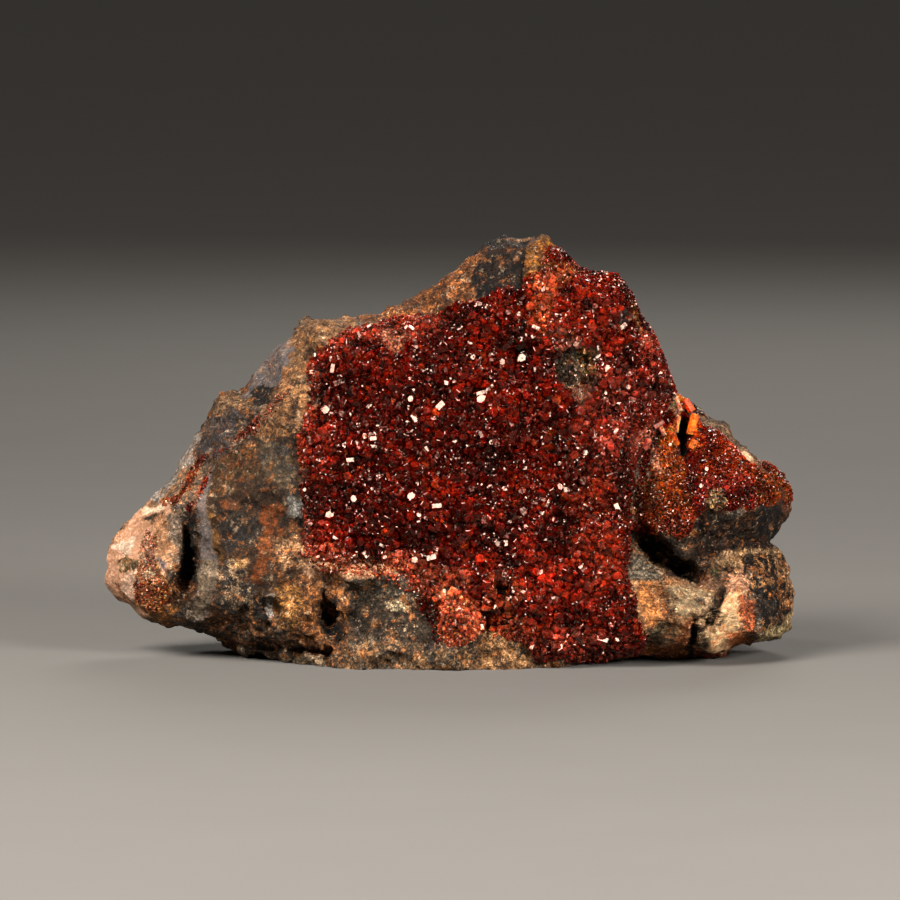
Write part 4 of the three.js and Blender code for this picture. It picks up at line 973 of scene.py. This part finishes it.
rockDetail = {
    "hollows": [(2.6, 5.5, 71), (1.5, 2.4, 81), (0.8, 1.15, 91)],   # strength, size, seed
    "grain": 0.35,
    # Share of the detail that is taken off at each of these places
    "underCrust": 0.8,
    "underGrowth": 0.7,
    "nearRim": 0.3,
    "onBack": 0.4,
    "deepest": -2.2,
    "highest": (0.5, 0.4),  # on the back, and how much more on the front
    "smoothest": 0.35,      # share of the detail that stays where there is no grit
    "pits": (0.31, 0.37),   # painted shade: brightness in the pits of the detail, and how much more on the heights
    "wrap": (0.87, 0.97),   # share of the way out where the back turns into the front
    "wrapRagged": 0.16,
    "sway": 10,             # how far the areas wander where they wrap round the rim, in millimetres
    "colours": ((100, 74, 54), (70, 56, 44)),
    "secondShare": 0.4,
}


# How strong the broken detail is: uneven all over, low under the crusts and the fine growth, along the
# rim and on the back.
def detailStrength(points, x, h, share, onFront):
    rough = 0.6 + 0.8 * layers(points, size=9, seed=61, count=2)
    rough *= 1 - rockDetail["nearRim"] * smooth(0.93, 1, share)
    for patch in (mainCrust, lobeDruse):
        under = onFront * (1 - smooth(0.88, 0.97, shareOut(patch, x, h)))
        rough *= 1 - rockDetail["underCrust"] * under
    for outline in growth.values():
        inside = 1 - smooth(-0.6, 0.4, outlineDistance(outline, x, h))
        rough *= 1 - rockDetail["underGrowth"] * onFront * inside
    return rough * (1 - rockDetail["onBack"] + rockDetail["onBack"] * onFront)


# The colours of the rock: the grounds by noise all over, and the areas of the front over them. The
# areas wrap round the rim, where their outlines sway.
def rockColours(points, x, h, onFront):
    grit = 0.6 + 0.4 * onFront
    first, second = (np.tile(linear(shade), (len(points), 1)) for shade in rockDetail["colours"])
    share = np.full(len(points), rockDetail["secondShare"])
    for size, seed, low, high, shade, other in grounds:
        mask = smooth(low, high, layers(points, size, seed, count=4, share=0.65))[:, None]
        first += (linear(shade) - first) * mask
        second += (linear(other) - second) * mask
    wobble = 2 * (layers(points, size=2.2, seed=23, count=4, share=0.75) - 0.5)
    sway = rockDetail["sway"] * smooth(-6, 4, points[:, 1])
    swayedX = x + sway * (layers(points, size=7, seed=29, count=2) - 0.5)
    swayedH = h + sway * (layers(points, size=7, seed=39, count=2) - 0.5)
    for shade, other, part, ragged, gritty, outline in areas:
        low, high = np.min(outline, axis=0) - 2, np.max(outline, axis=0) + 2
        across = (swayedX > low[0]) & (swayedX < high[0])
        near = np.flatnonzero(across & (swayedH > low[1]) & (swayedH < high[1]))
        d = outlineDistance(outline, swayedX[near], swayedH[near]) + 1.6 * ragged * wobble[near]
        mask = onFront[near] * (1 - smooth(-0.15, 0.2, d))
        first[near] += (linear(shade) - first[near]) * mask[:, None]
        second[near] += (linear(other) - second[near]) * mask[:, None]
        share[near] += (part - share[near]) * mask
        grit[near] += (gritty - grit[near]) * mask
    return first, second, share, grit


# The rock: two broken sheets that meet in the rim. Its detail is hollows of three sizes and noise,
# moved along the normals, and whatever goes below the saw is laid flat on the ground. A ragged strip
# of the back along the rim is treated as the front. The front is laid on a finer grid than the back.
def buildRock(name, cells, wantFront, material, replaced):
    x, h, _ = ringGrid(dict(rock, cells=cells))
    front = place(x, frontRelief(x, h), h)
    back = place(x, -backRelief(x, h), h)
    points, faces = twoSheets(front, back)
    normals = pointNormals(points, faces)
    allX, allH = bothSheets(x), bothSheets(h)
    onFront = (np.arange(len(points)) < x.size).astype(float)
    share = shareOut(rock, allX, allH)
    rimNoise = rockDetail["wrapRagged"] * (layers(points, size=5, seed=67) - 0.5)
    onFront = np.maximum(onFront, smooth(*rockDetail["wrap"], share + rimNoise))
    strength = detailStrength(points, allX, allH, share, onFront)
    first, second, secondShare, grit = rockColours(points, allX, allH, onFront)

    detail = sum(part * hollows(points, size, seed) for part, size, seed in rockDetail["hollows"])
    detail += rockDetail["grain"] * (layers(points, size=0.9, seed=99, count=2) - 0.5)
    detail *= strength * (rockDetail["smoothest"] + (1 - rockDetail["smoothest"]) * grit)
    detail -= detail.mean()
    low, more = rockDetail["highest"]
    highest = low + more * onFront
    moved = points + normals * np.clip(detail, rockDetail["deepest"], highest)[:, None]
    moved[:, 2] = np.maximum(moved[:, 2], 0)

    # The colour is darkened in the pits of the detail and kept lighter on its heights: painted shade.
    dark, more = rockDetail["pits"]
    paintedPitShade = dark + more * smooth(-1.5, 0.6, detail)[:, None]
    attributes = {"rockColour": first * paintedPitShade, "rockSecond": second * paintedPitShade,
                  "secondShare": secondShare, "grit": grit}
    half = len(faces) // 2
    faces = faces[:half] if wantFront else faces[half:]
    addPiece(name, moved, faces, material, attributes, replaced, smoothFaces=True)


rockFinish = rockMaterial()
buildRock("rock_front", rock["frontCells"], True, rockFinish, ["matrix"])
buildRock("rock_back", rock["backCells"], False, rockFinish, [])
print("rock made")


# A thin seam of crystals: a patch inside a turned ellipse.
def strip(at, length, width, turn):
    sides = 40
    a = np.linspace(0, -2 * math.pi, sides, endpoint=False)
    r = math.radians(turn)
    along, side = length / 2 * np.cos(a), width / 2 * np.sin(a)
    outline = np.stack([at[0] + along * math.cos(r) - side * math.sin(r),
                        at[1] + along * math.sin(r) + side * math.cos(r)], axis=1)
    return {"centre": at, "aspect": 1, "cells": 40, "ragged": 1.2, "thickness": 0.1, "swell": 0.9,
            "least": -0.5, "edge": 4, "outline": outline}


# Bare places in the crusts: x, h, half width, half height, turn
bare = [
    (36.7, 37.2, 1.6, 2.9, -4),
    (36.9, 34.4, 1.1, 1.5, 10),
    (27.1, 55.2, 0.9, 2, 5),
    (5.3, 8.2, 1.3, 1.9, 0),
    (7.9, 12.2, 1.2, 0.7, 10),
    (18.9, 47.4, 3, 3.8, 0),
]


# Spots where the crystals are finer: x, h, half width, half height
finerSpots = [
    (0.8, 6, 5, 7.5),
    (-10, 51.5, 8, 5),
    (28, 35, 5, 9),
]


# How far the bed stands off the rock: thicker on swells, steep at its edge, and under the rock's
# surface on its outline and in the bare places.
def bedHeight(patch, x, h, share, base):
    sunk, drop = 0.6, 4
    swell = 0.6 * layers(base, size=6.5, seed=111, count=2)
    swell = swell + 0.4 * layers(base, size=2.6, seed=121, count=2)
    height = patch["thickness"] + patch["swell"] * (2 * swell - 0.9)
    height = np.maximum(height, patch["least"])
    height = -sunk + (height + sunk) * np.sqrt(np.maximum(0, 1 - share ** patch["edge"]))
    for ax, ah, width, high, turn in bare:
        height = height - drop * (1 - smooth(0.8, 1.15, ovalDistance(x, h, (ax, ah), (width, high), turn)))
    return height


# The top of a bed: the rock's front moved out by the bed's height, with the direction and the rock.
def bedSurface(patch, x, h, share):
    base, normal = frontSurface(x, h)
    return base + normal * bedHeight(patch, x, h, share, base)[..., None], normal, base


# Tints of the crystals: x, h, half width, half height, turn, display colour, strength, frost.
# Later tints lie over earlier ones. The marked dark tints are painted shade.
crystalTints = [
    (16, 11, 16, 11, 0, (118, 23, 8), 0.6, 0),
    (24, 25, 6, 13, 0, (112, 32, 15), 0.6, 0.02),
    (26, 40, 7, 10, 0, (124, 40, 28), 0.5, 0.04),
    (20, 55, 13, 9, -25, (104, 22, 8), 0.6, 0),
    (14.4, 59, 1.3, 6.5, 4, (150, 62, 30), 0.6, 0.1),
    (17.4, 62, 2.6, 2.4, 0, (150, 70, 32), 0.45, 0.1),
    # Painted shade on the crystals in the crevices at the summit.
    (11.7, 54, 0.6, 6, 1, (20, 3, 2), 0.9, 0),
    (9.8, 53.6, 0.5, 2, 0, (20, 3, 2), 0.8, 0),
    (-8, 54, 9, 2.6, 8, (128, 44, 28), 0.6, 0.05),
    (-9.2, 51.6, 2.4, 1.8, 10, (196, 112, 84), 0.75, 0.1),
    (-24, 33.6, 2, 7, 0, (150, 54, 34), 0.8, 0),
    (-23.4, 22, 1.6, 6, 5, (150, 60, 42), 0.8, 0.04),
    (-21, 38, 3, 20, 0, (104, 24, 12), 0.5, 0),
    (-20, 18.4, 4, 1.6, -10, (150, 54, 30), 0.6, 0.05),
    (-18, 52, 5, 2.4, 24, (132, 44, 28), 0.6, 0.05),
    (-22.4, 45, 1.8, 5, 0, (150, 58, 34), 0.75, 0.05),
    (18.9, 47.4, 3.6, 4.6, 0, (84, 60, 46), 0.95, 0.05),
    (20.8, 48.6, 1.6, 2.6, 0, (170, 120, 76), 0.6, 0.05),
    (19.4, 43.8, 2, 1.6, 0, (170, 110, 86), 0.5, 0.05),
    (17.2, 47.6, 1.6, 3, 0, (40, 34, 28), 0.8, 0),
    # Painted shade on the crystals in the hole near the top right.
    (27, 55.4, 1.2, 2.2, 5, (30, 16, 12), 1.0, 0.4),
    (29.4, 54.6, 0.8, 3.4, 12, (132, 84, 44), 0.8, 0.1),
    (31.4, 49, 2, 7, 20, (160, 58, 40), 0.6, 0.06),
    (31, 36.6, 2.6, 2.6, -30, (176, 84, 66), 0.75, 0.08),
    (-13.6, 15.6, 9, 1.6, -4, (154, 74, 46), 0.8, 0.06),
    (-6, 15, 6, 3, -25, (166, 66, 42), 0.7, 0.02),
    (-1, 13.4, 5, 3, -14, (168, 70, 44), 0.75, 0.02),
    (1, 6.6, 3.3, 6.4, 0, (208, 94, 60), 0.8, 0.02),
    (7.8, 9, 3.4, 5, 0, (156, 62, 32), 0.65, 0.02),
    (10, 5.4, 4, 3.4, 0, (176, 72, 40), 0.6, 0),
    # Painted shade on the crystals in the pit low in the crust.
    (5.3, 8.4, 1.7, 2.4, 0, (12, 3, 2), 0.95, 0.5),
    (20, 4, 12, 3.4, 0, (136, 46, 30), 0.6, 0.04),
    # Painted shade on the crust's right side, where it turns away from the light.
    (28, 26, 2.4, 8, 4, (60, 14, 6), 0.8, 0),
    (34, 27, 4.4, 6.4, 0, (112, 40, 8), 0.9, 0.03),
    (32.4, 28, 1.2, 3, 0, (60, 34, 18), 0.8, 0.05),
    (34.6, 31.6, 3.2, 3, 0, (140, 56, 14), 0.75, 0.04),
    (32.6, 32.6, 1, 3, 20, (200, 110, 84), 0.7, 0.1),
    (34.4, 36.2, 1.4, 1.8, 0, (192, 74, 12), 0.95, 0.03),
    (35.3, 38.6, 1.4, 0.7, 45, (202, 92, 46), 0.9, 0.1),
    (35.8, 41.6, 0.8, 2, 0, (224, 150, 116), 0.8, 0.15),
    (37.2, 42.6, 1.8, 2, 0, (188, 82, 12), 1.0, 0.03),
    (39.1, 38.2, 0.9, 2.3, 0, (196, 52, 6), 1.0, 0.03),
    (39, 35, 1, 0.9, 0, (198, 64, 12), 1.0, 0.03),
    # Painted shade on the crystals in the vug.
    (36.8, 37, 2, 3.6, 0, (24, 8, 5), 1.0, 0.3),
    (36.9, 34.4, 1.5, 2, 10, (24, 8, 5), 1.0, 0.3),
    (44, 33.4, 6, 5, -30, (128, 34, 7), 0.9, 0.02),
    (44.4, 29, 4.6, 1.3, 4, (128, 32, 22), 0.7, 0.03),
    (39.4, 27, 0.9, 1.9, -20, (150, 26, 16), 0.8, 0.02),
    (47.4, 26.6, 1.2, 1.6, 0, (132, 28, 20), 0.7, 0.02),
    (41.8, 26.3, 1.8, 1.5, 0, (190, 140, 96), 1.0, 0.3),
    (51.6, 29, 3.6, 4, 0, (120, 46, 12), 0.95, 0.04),
    (36.5, 23, 3, 2.4, 0, (126, 40, 18), 0.7, 0.03),
    (-48.4, 15, 2.6, 8, 0, (178, 114, 90), 0.9, 0.06),
    (-48, 11.4, 3.4, 3.2, 0, (190, 88, 46), 0.8, 0.06),
    (-32, 39, 9, 3, 43, (116, 60, 44), 0.95, 0.1),
    (-40.6, 28, 2, 5, 20, (150, 62, 40), 0.85, 0.08),
    (-43.4, 28.6, 2.6, 4.6, -50, (160, 76, 42), 0.95, 0.06),
]


# Body colours, orange red, red and wine: the share of the crystals up to which each is laid over the
# ones before it, display colour
bodyColours = [
    (1, (96, 26, 6)),
    (0.96, (64, 5, 1)),
    (0.5, (47, 3, 0)),
]


# Body colour and frost of the crystals at some places. Each crystal is wine, red or orange red, and
# the tints change that by place.
def crystalColours(x, h, rng):
    unevenTint, unevenBody = (0.1, 1.1), (0.8, 1.2)
    pick = rng.random(len(x))[:, None]
    colour = np.zeros((len(x), 3))
    for upTo, shade in bodyColours:
        colour = np.where(pick < upTo, linear(shade), colour)
    frost = np.zeros(len(x))
    wobble = 0.9 * (layers(flatPoints(x, h), size=2.2, seed=131, count=2) - 0.5)
    for ax, ah, width, height, turn, shade, strength, dull in crystalTints:
        d = ovalDistance(x, h, (ax, ah), (width, height), turn)
        mask = strength * (1 - smooth(0.6, 1.15, d + wobble))
        uneven = rng.uniform(*unevenTint, (len(x), 1))
        colour = colour * (1 - mask[:, None]) + linear(shade) * mask[:, None] * uneven
        frost = frost * (1 - mask) + dull * mask
    colour *= rng.uniform(*unevenBody, (len(x), 1))
    return colour, frost


# Places spread over a patch about one spacing apart: random ones, with more of them near the steep
# edge, thinned to one in each small cube.
def spread(patch, spacing, rng):
    reachOut, edgeStrip, perSquare = 0.995, 0.1, 7
    low = np.min(patch["outline"], axis=0) - 1
    high = np.max(patch["outline"], axis=0) + 1
    count = int(perSquare * np.prod(high - low) / spacing ** 2)
    x, h = rng.uniform(low, high, (count, 2)).T
    inside = shareOut(patch, x, h) < reachOut
    x, h = x[inside], h[inside]
    turn = rng.uniform(-math.pi, math.pi, count)
    distance = reach(patch, np.cos(turn), np.sin(turn)) * (reachOut - edgeStrip * rng.random(count) ** 2)
    x = np.concatenate([x, patch["centre"][0] + distance * np.cos(turn)])
    h = np.concatenate([h, patch["centre"][1] + distance * np.sin(turn)])
    share = shareOut(patch, x, h)
    point, normal, _ = bedSurface(patch, x, h, share)
    return thinned(x, h, share, point, normal, spacing)


# Places inside an outline straight on the rock, also on its steep rim.
def spreadOnRock(outline, spacing, rng):
    rimStrip, perSquare, lift, fade = 0.12, 8, 0.1, 4
    low, high = np.min(outline, axis=0), np.max(outline, axis=0)
    count = int(perSquare * np.prod(high - low) / spacing ** 2)
    x, h = rng.uniform(low, high, (count, 2)).T
    rim = 1 - rimStrip * rng.random(count) ** 2
    squeeze = rim / shareOut(rock, x, h)
    x = np.concatenate([x, rock["centre"][0] + (x - rock["centre"][0]) * squeeze])
    h = np.concatenate([h, rock["centre"][1] + (h - rock["centre"][1]) * squeeze])
    ragged = 0.8 * (layers(flatPoints(x, h), size=1.6, seed=151, count=2) - 0.5)
    d = outlineDistance(outline, x, h) + ragged
    inside = (d < 0) & (shareOut(rock, x, h) < 0.998)
    x, h, d = x[inside], h[inside], d[inside]
    point, normal = frontSurface(x, h, fineStep)
    return thinned(x, h, np.clip(1 + d / fade, 0, 1), point + lift * normal, normal, spacing)


# The first of the places in each cube as wide as the spacing.
def thinned(x, h, share, point, normal, spacing):
    cube = np.floor(point / spacing).astype(int)
    _, first = np.unique(cube, axis=0, return_index=True)
    first = np.sort(first)
    return x[first], h[first], share[first], point[first], normal[first]


# Hexagonal prisms, open at the buried foot: a ring of six corners is carried along each axis to the
# shoulder, and to a narrower flat end. Fine ones have no shoulder. The corners stand unevenly. The
# triangles of one prism are a template that is repeated for all.
def prisms(foot, axis, radius, length, bevel, rng):
    turnError, radiusError, flattest = 0.09, 0.12, 0.8
    n = len(foot)
    side = unit(np.cross(axis, rng.normal(size=(n, 3))))
    other = np.cross(axis, side)
    angle = np.arange(6) * math.pi / 3 + rng.uniform(-turnError, turnError, (n, 6))
    uneven = radius[:, None] * (1 + rng.uniform(-radiusError, radiusError, (n, 6)))
    squash = rng.uniform(flattest, 1.0, (n, 1))
    ring = (np.cos(angle) * uneven)[..., None] * side[:, None] \
        + (np.sin(angle) * uneven * squash)[..., None] * other[:, None]
    levels = [(1.0, np.zeros(n)), (1.0, length)]
    if bevel:
        levels = [(1.0, np.zeros(n)), (1.0, length - bevel * radius), (1 - bevel, length)]
    points = [foot[:, None] + ring * width + (axis * up[:, None])[:, None] for width, up in levels]
    k = np.arange(6)
    m = (k + 1) % 6
    walls = []
    for s in range(0, 6 * len(levels) - 6, 6):
        walls += [np.stack([k + s, m + s, m + s + 6], 1), np.stack([k + s, m + s + 6, k + s + 6], 1)]
    fan = np.stack([np.zeros(4, int), np.arange(1, 5), np.arange(2, 6)], 1)
    template = np.concatenate(walls + [fan + 6 * len(levels) - 6])
    faces = (template[None] + 6 * len(levels) * np.arange(n)[:, None, None]).reshape(-1, 3)
    return np.stack(points, axis=1).reshape(-1, 3), faces


growing = {
    "smallerAtEdge": 0.6,
    "smallerInSpots": 0.55,
    "buried": 0.35,                   # how far the middle of a crystal is sunk, in radii
    "paintedDepthShades": [0.5, 1.0, 1.1],   # painted shade: brightness at the foot, the shoulder and the end, darkest at the buried foot
    "lowest": 0.12,                   # in millimetres above the ground
}


# Crystals of one size at some places. They point outwards within a spread of directions, and part
# of their length is buried in the bed.
def grow(places, size, rng):
    keep = rng.random(len(places[0])) < size.get("keep", 1)
    for ax, ah, width, height, turn in size.get("bare", bare):
        d = ovalDistance(places[0], places[1], (ax, ah), (width, height), turn)
        keep &= d > rng.uniform(0.75, 1.1, len(keep))
    x, h, share, point, normal = [values[keep] for values in places]
    n = len(x)
    axis = unit(normal + size["lean"] * unit(rng.normal(size=(n, 3))))
    axis = unit(axis - 2 * np.minimum(0, np.sum(axis * normal, axis=1, keepdims=True)) * normal)
    radius = rng.uniform(*size["radius"], n) * (1 - growing["smallerAtEdge"] * smooth(0.86, 1, share))
    for ax, ah, width, height in finerSpots:
        radius *= 1 - growing["smallerInSpots"] * bump(ovalDistance(x, h, (ax, ah), (width, height)))
    length = radius * rng.uniform(*size["slender"], n)
    out = size["out"] * radius - growing["buried"] * radius
    foot = point + normal * out[:, None] - axis * (0.5 * length)[:, None]
    points, faces = prisms(foot, axis, radius, length, size["bevel"], rng)
    colour, frost = crystalColours(x, h, rng)
    levels = 3 if size["bevel"] else 2
    # Each crystal is painted darker towards its buried foot: painted shade.
    paintedDepthShade = np.tile(np.repeat(growing["paintedDepthShades"][:levels], 6), n)
    return (points, faces, np.repeat(colour, 6 * levels, axis=0) * paintedDepthShade[:, None],
            np.repeat(frost, 6 * levels), np.full(len(points), size["sparkle"]))


def crystalsOn(patch, size, rng):
    return grow(spread(patch, size["spacing"], rng), size, rng)


# Single larger crystals that lie along the druse: x, h, radius, length, turn, display colour
singles = [
    (39.1, 38.2, 0.78, 3.4, 96, (178, 72, 10)),
    (39.0, 35.0, 0.66, 1.5, 84, (184, 86, 16)),
    (35.4, 38.6, 0.42, 2.6, 44, (200, 112, 56)),
    (37.5, 41.2, 0.62, 2.2, 104, (190, 62, 12)),
    (34.8, 36.0, 0.6, 2.2, 118, (190, 80, 18)),
    (33.5, 37.4, 0.42, 2.2, 112, (220, 120, 92)),
    (35.9, 41.4, 0.34, 2.4, 84, (232, 150, 116)),
    (30.6, 35.6, 0.5, 1.8, 60, (190, 84, 68)),
    (32.4, 38.6, 0.5, 2, 20, (170, 52, 40)),
]


# The single crystals: each axis is laid along the rock's surface by its turn and lifted a little, and
# the crystal rests on the bed with its middle at its place.
def singleCrystals(rng):
    bevel, lift, brightness, frost = 0.14, 0.15, 0.61, 0.25
    x, h, radius, length, turn = np.array([entry[:5] for entry in singles]).T
    point, normal = frontSurface(x, h, fineStep)
    turn = np.radians(turn)
    along = np.stack([np.cos(turn), 0 * turn, np.sin(turn)], axis=1)
    axis = unit(along - normal * np.sum(along * normal, axis=1, keepdims=True) + lift * normal)
    foot = point + normal * (0.5 + 0.4 * radius)[:, None] - axis * (0.5 * length)[:, None]
    points, faces = prisms(foot, axis, radius, length, bevel, rng)
    colour = brightness * linear([entry[5] for entry in singles])
    zero = np.zeros(len(points))
    return points, faces, np.repeat(colour, len(points) // len(singles), axis=0), zero + frost, zero


# Several groups of points, triangles and values as one.
def joined(groups):
    starts = np.cumsum([0] + [len(group[0]) for group in groups[:-1]])
    groups = [(points, faces + start, *values) for (points, faces, *values), start in zip(groups, starts)]
    return [np.concatenate(values) for values in zip(*groups)]


# The bed between the crystals: its top is bumpy, and its back lies within the rock.
def bed(patch, rng):
    x, h, share = ringGrid(patch)
    front, normal, base = bedSurface(patch, x, h, share)
    bumpy = beds["bumpHeight"] * (hollows(front, beds["bumpSize"], 141) - 0.3)
    inner = 1 - smooth(0.93, 1, share)
    front = front + normal * (bumpy * inner)[..., None]
    back = base - normal * beds["depth"]
    # The two sheets share their border
    back[0], back[-1], back[:, 0], back[:, -1] = front[0], front[-1], front[:, 0], front[:, -1]
    points, faces = twoSheets(front, back)
    points[:, 2] = np.maximum(points[:, 2], beds["lowest"])
    colour, frost = crystalColours(bothSheets(x), bothSheets(h), rng)
    # The bed's colour is darkened by the brightness: painted shade between the crystals.
    return (points, faces, colour * beds["brightness"], frost + beds["frost"],
            np.full(len(points), beds["sparkle"]))


# A piece of crystals, cut off just above the ground.
def addCrystals(name, parts, replaced):
    points, faces, colour, frost, sparkle = parts
    points[:, 2] = np.maximum(points[:, 2], growing["lowest"])
    attributes = {"crystalColour": colour, "frost": frost, "sparkle": sparkle}
    addPiece(name, points, faces, crystalFinish, attributes, replaced)


crystalFinish = crystalMaterial("redCrystal")
rng = np.random.default_rng(7)

# Sizes of crystals: how far apart they stand, least and most radius, least and most length in radii,
# how far they lean, how far they stand out in radii, bevel, sparkle, and the share that is kept
mainSizes = [
    {"spacing": 1.0, "radius": (0.32, 0.58), "slender": (1.8, 3.2), "lean": 2, "out": 0.6, "bevel": 0.12,
     "sparkle": 0.4},
    {"spacing": 1.7, "radius": (0.5, 0.84), "slender": (1.5, 2.4), "lean": 2, "out": 1, "bevel": 0.1,
     "sparkle": 0, "keep": 0.7},
]
fineSize = {"spacing": 0.5, "radius": (0.15, 0.32), "slender": (1.4, 2.8), "lean": 1.4, "out": 0.7,
            "bevel": 0, "sparkle": 0.9}
druseSizes = [
    {"spacing": 0.34, "radius": (0.1, 0.2), "slender": (1.4, 2.8), "lean": 1.3, "out": 0.9, "bevel": 0,
     "sparkle": 0.9},
    {"spacing": 1.4, "radius": (0.3, 0.5), "slender": (1.2, 2.2), "lean": 1.3, "out": 0.6, "bevel": 0.12,
     "sparkle": 0, "keep": 0.4},
]

addCrystals("crust_bed", bed(mainCrust, rng), ["main_crust"])
large = [crystalsOn(mainCrust, size, rng) for size in mainSizes]
addCrystals("crust_crystals", joined(large), [])
finePlaces = spread(mainCrust, fineSize["spacing"], rng)
lower = finePlaces[1] < np.median(finePlaces[1])
for name, half in (("crust_fine_lower", lower), ("crust_fine_upper", ~lower)):
    addCrystals(name, grow([values[half] for values in finePlaces], fineSize, rng), [])
print("main crust made")

lobe = [crystalsOn(lobeDruse, size, rng) for size in druseSizes]
lobe = joined([bed(lobeDruse, rng), singleCrystals(rng)] + lobe)
addCrystals("lobe_crystals", lobe, ["lobe_druse"])

stripSize = {"spacing": 0.36, "radius": (0.1, 0.2), "slender": (1.2, 2.4), "lean": 1.3, "out": 0.8,
             "bevel": 0, "sparkle": 0.9, "keep": 0.7}
strips = {
    "upper_ridge": strip((-31.6, 38.6), 14, 1.2, 42),
    "lower_ridge": strip((-40.2, 27.8), 7.6, 1.2, 62),
    "knob": strip((-48.3, 14.8), 12, 2.4, 88),
}
for name, patch in strips.items():
    parts = joined([bed(patch, rng), crystalsOn(patch, stripSize, rng)])
    addCrystals(name + "_crystals", parts, [name + "_druse"])

# Fine growth: it may cover the last of the bare places, and it is thinner in some of its stretches
dustSize = {"spacing": 0.4, "radius": (0.12, 0.26), "slender": (1.3, 2.4), "lean": 1.3, "out": 0.7,
            "bevel": 0, "sparkle": 0.9, "bare": bare[:-1]}
thinGrowth = {"lower_fringe": 0.6, "bare_patch": 0.7, "upper_line": 0.35, "lower_line": 0.5}
for name, outline in growth.items():
    places = spreadOnRock(outline, dustSize["spacing"], rng)
    size = dict(dustSize, keep=thinGrowth.get(name, 1))
    addCrystals("fine_growth_" + name, grow(places, size, rng), [])
print("druses made")

# The stage: a wide pale floor, two soft boxes in front, one behind, a high soft light and a dim sky.
# Azimuth is to the right of the viewer, in degrees; distances and sizes are in metres.
warmWhite = (1.0, 0.93, 0.84)
stage = {
    "floorSize": 16,
    "floorColour": (0.112, 0.109, 0.105, 1),
    "floorGrain": (0.12, 0.117, 0.113, 1),
    "aim": (0, 0, 0.03),
    # Name, azimuth, elevation, distance, size, power, colour
    "softBoxes": [
        ("leftSoftbox", -42, 40, 0.56, 0.215, 7.1, warmWhite),
        ("rightSoftbox", 42, 20, 0.6, 0.2, 6.6, warmWhite),
        ("backSoftbox", 168, 35, 0.9, 0.35, 4, (1.0, 0.95, 0.88)),
    ],
    # Name, azimuth, elevation, strength, spread in degrees, colour
    "highLight": ("highSoftLight", -30, 58, 0.8, 6, warmWhite),
    "skyColour": (1.0, 0.96, 0.9, 1),
    "skyStrength": 0.04,
}
# The camera looks down a little from straight in front, through a long lens. Its target is in
# millimetres, and the width that it shows at the target is in metres.
view = {
    "tilt": 5,
    "lens": 300,
    "sensor": 36,
    "widthShown": 0.144,
    "target": (-0.14, -0.65, 33.16),
}


def addFloor():
    half = stage["floorSize"] / 2
    corners = [(-half, -half, 0), (half, -half, 0), (half, half, 0), (-half, half, 0)]
    mesh = bpy.data.meshes.new("floor")
    mesh.from_pydata(corners, [], [(0, 1, 2, 3)])
    material, tree, shader, place3d = startMaterial("paleFloor")
    grain = noiseNode(tree, place3d, 40, 3, 0.5)
    tint = mixColour(tree, grain, stage["floorColour"], stage["floorGrain"])
    tree.links.new(tint, shader.inputs["Base Color"])
    shader.inputs["Roughness"].default_value = 0.9
    shader.inputs["Specular IOR Level"].default_value = 0.2
    mesh.materials.append(material)
    floor = addToScene("floor", mesh)


# A light that shines from a direction onto the specimen.
def addLight(name, kind, azimuth, elevation, strength, colour):
    a, e = math.radians(azimuth), math.radians(elevation)
    back = Vector((math.sin(a) * math.cos(e), -math.cos(a) * math.cos(e), math.sin(e)))
    lamp = bpy.data.lights.new(name, kind)
    lamp.energy = strength
    lamp.color = colour
    light = addToScene(name, lamp)
    light.rotation_euler = back.to_track_quat("Z", "Y").to_euler()
    return lamp, light, back


def addSoftBox(name, azimuth, elevation, distance, size, power, colour):
    lamp, light, back = addLight(name, "AREA", azimuth, elevation, power, colour)
    lamp.shape = "SQUARE"
    lamp.size = size
    light.location = Vector(stage["aim"]) + back * distance


def addHighLight(name, azimuth, elevation, strength, spreadAngle, colour):
    lamp, _, _ = addLight(name, "SUN", azimuth, elevation, strength, colour)
    lamp.angle = math.radians(spreadAngle)


def addSky():
    world = bpy.data.worlds.new("studio")
    bpy.context.scene.world = world
    world.use_nodes = True
    sky = world.node_tree.nodes["Background"]
    sky.inputs["Color"].default_value = stage["skyColour"]
    sky.inputs["Strength"].default_value = stage["skyStrength"]


def addCamera():
    tilt = math.radians(view["tilt"])
    forward = Vector((0, math.cos(tilt), -math.sin(tilt)))
    data = bpy.data.cameras.new("camera")
    data.lens = view["lens"]
    data.sensor_width = view["sensor"]
    camera = addToScene("camera", data)
    distance = view["widthShown"] * view["lens"] / view["sensor"]
    camera.location = Vector(view["target"]) * mm - forward * distance
    camera.rotation_euler = (math.pi / 2 - tilt, 0, 0)
    bpy.context.scene.camera = camera


addFloor()
for box in stage["softBoxes"]:
    addSoftBox(*box)
addHighLight(*stage["highLight"])
addSky()
addCamera()
bpy.context.scene.view_settings.view_transform = "Standard"
print("stage set")
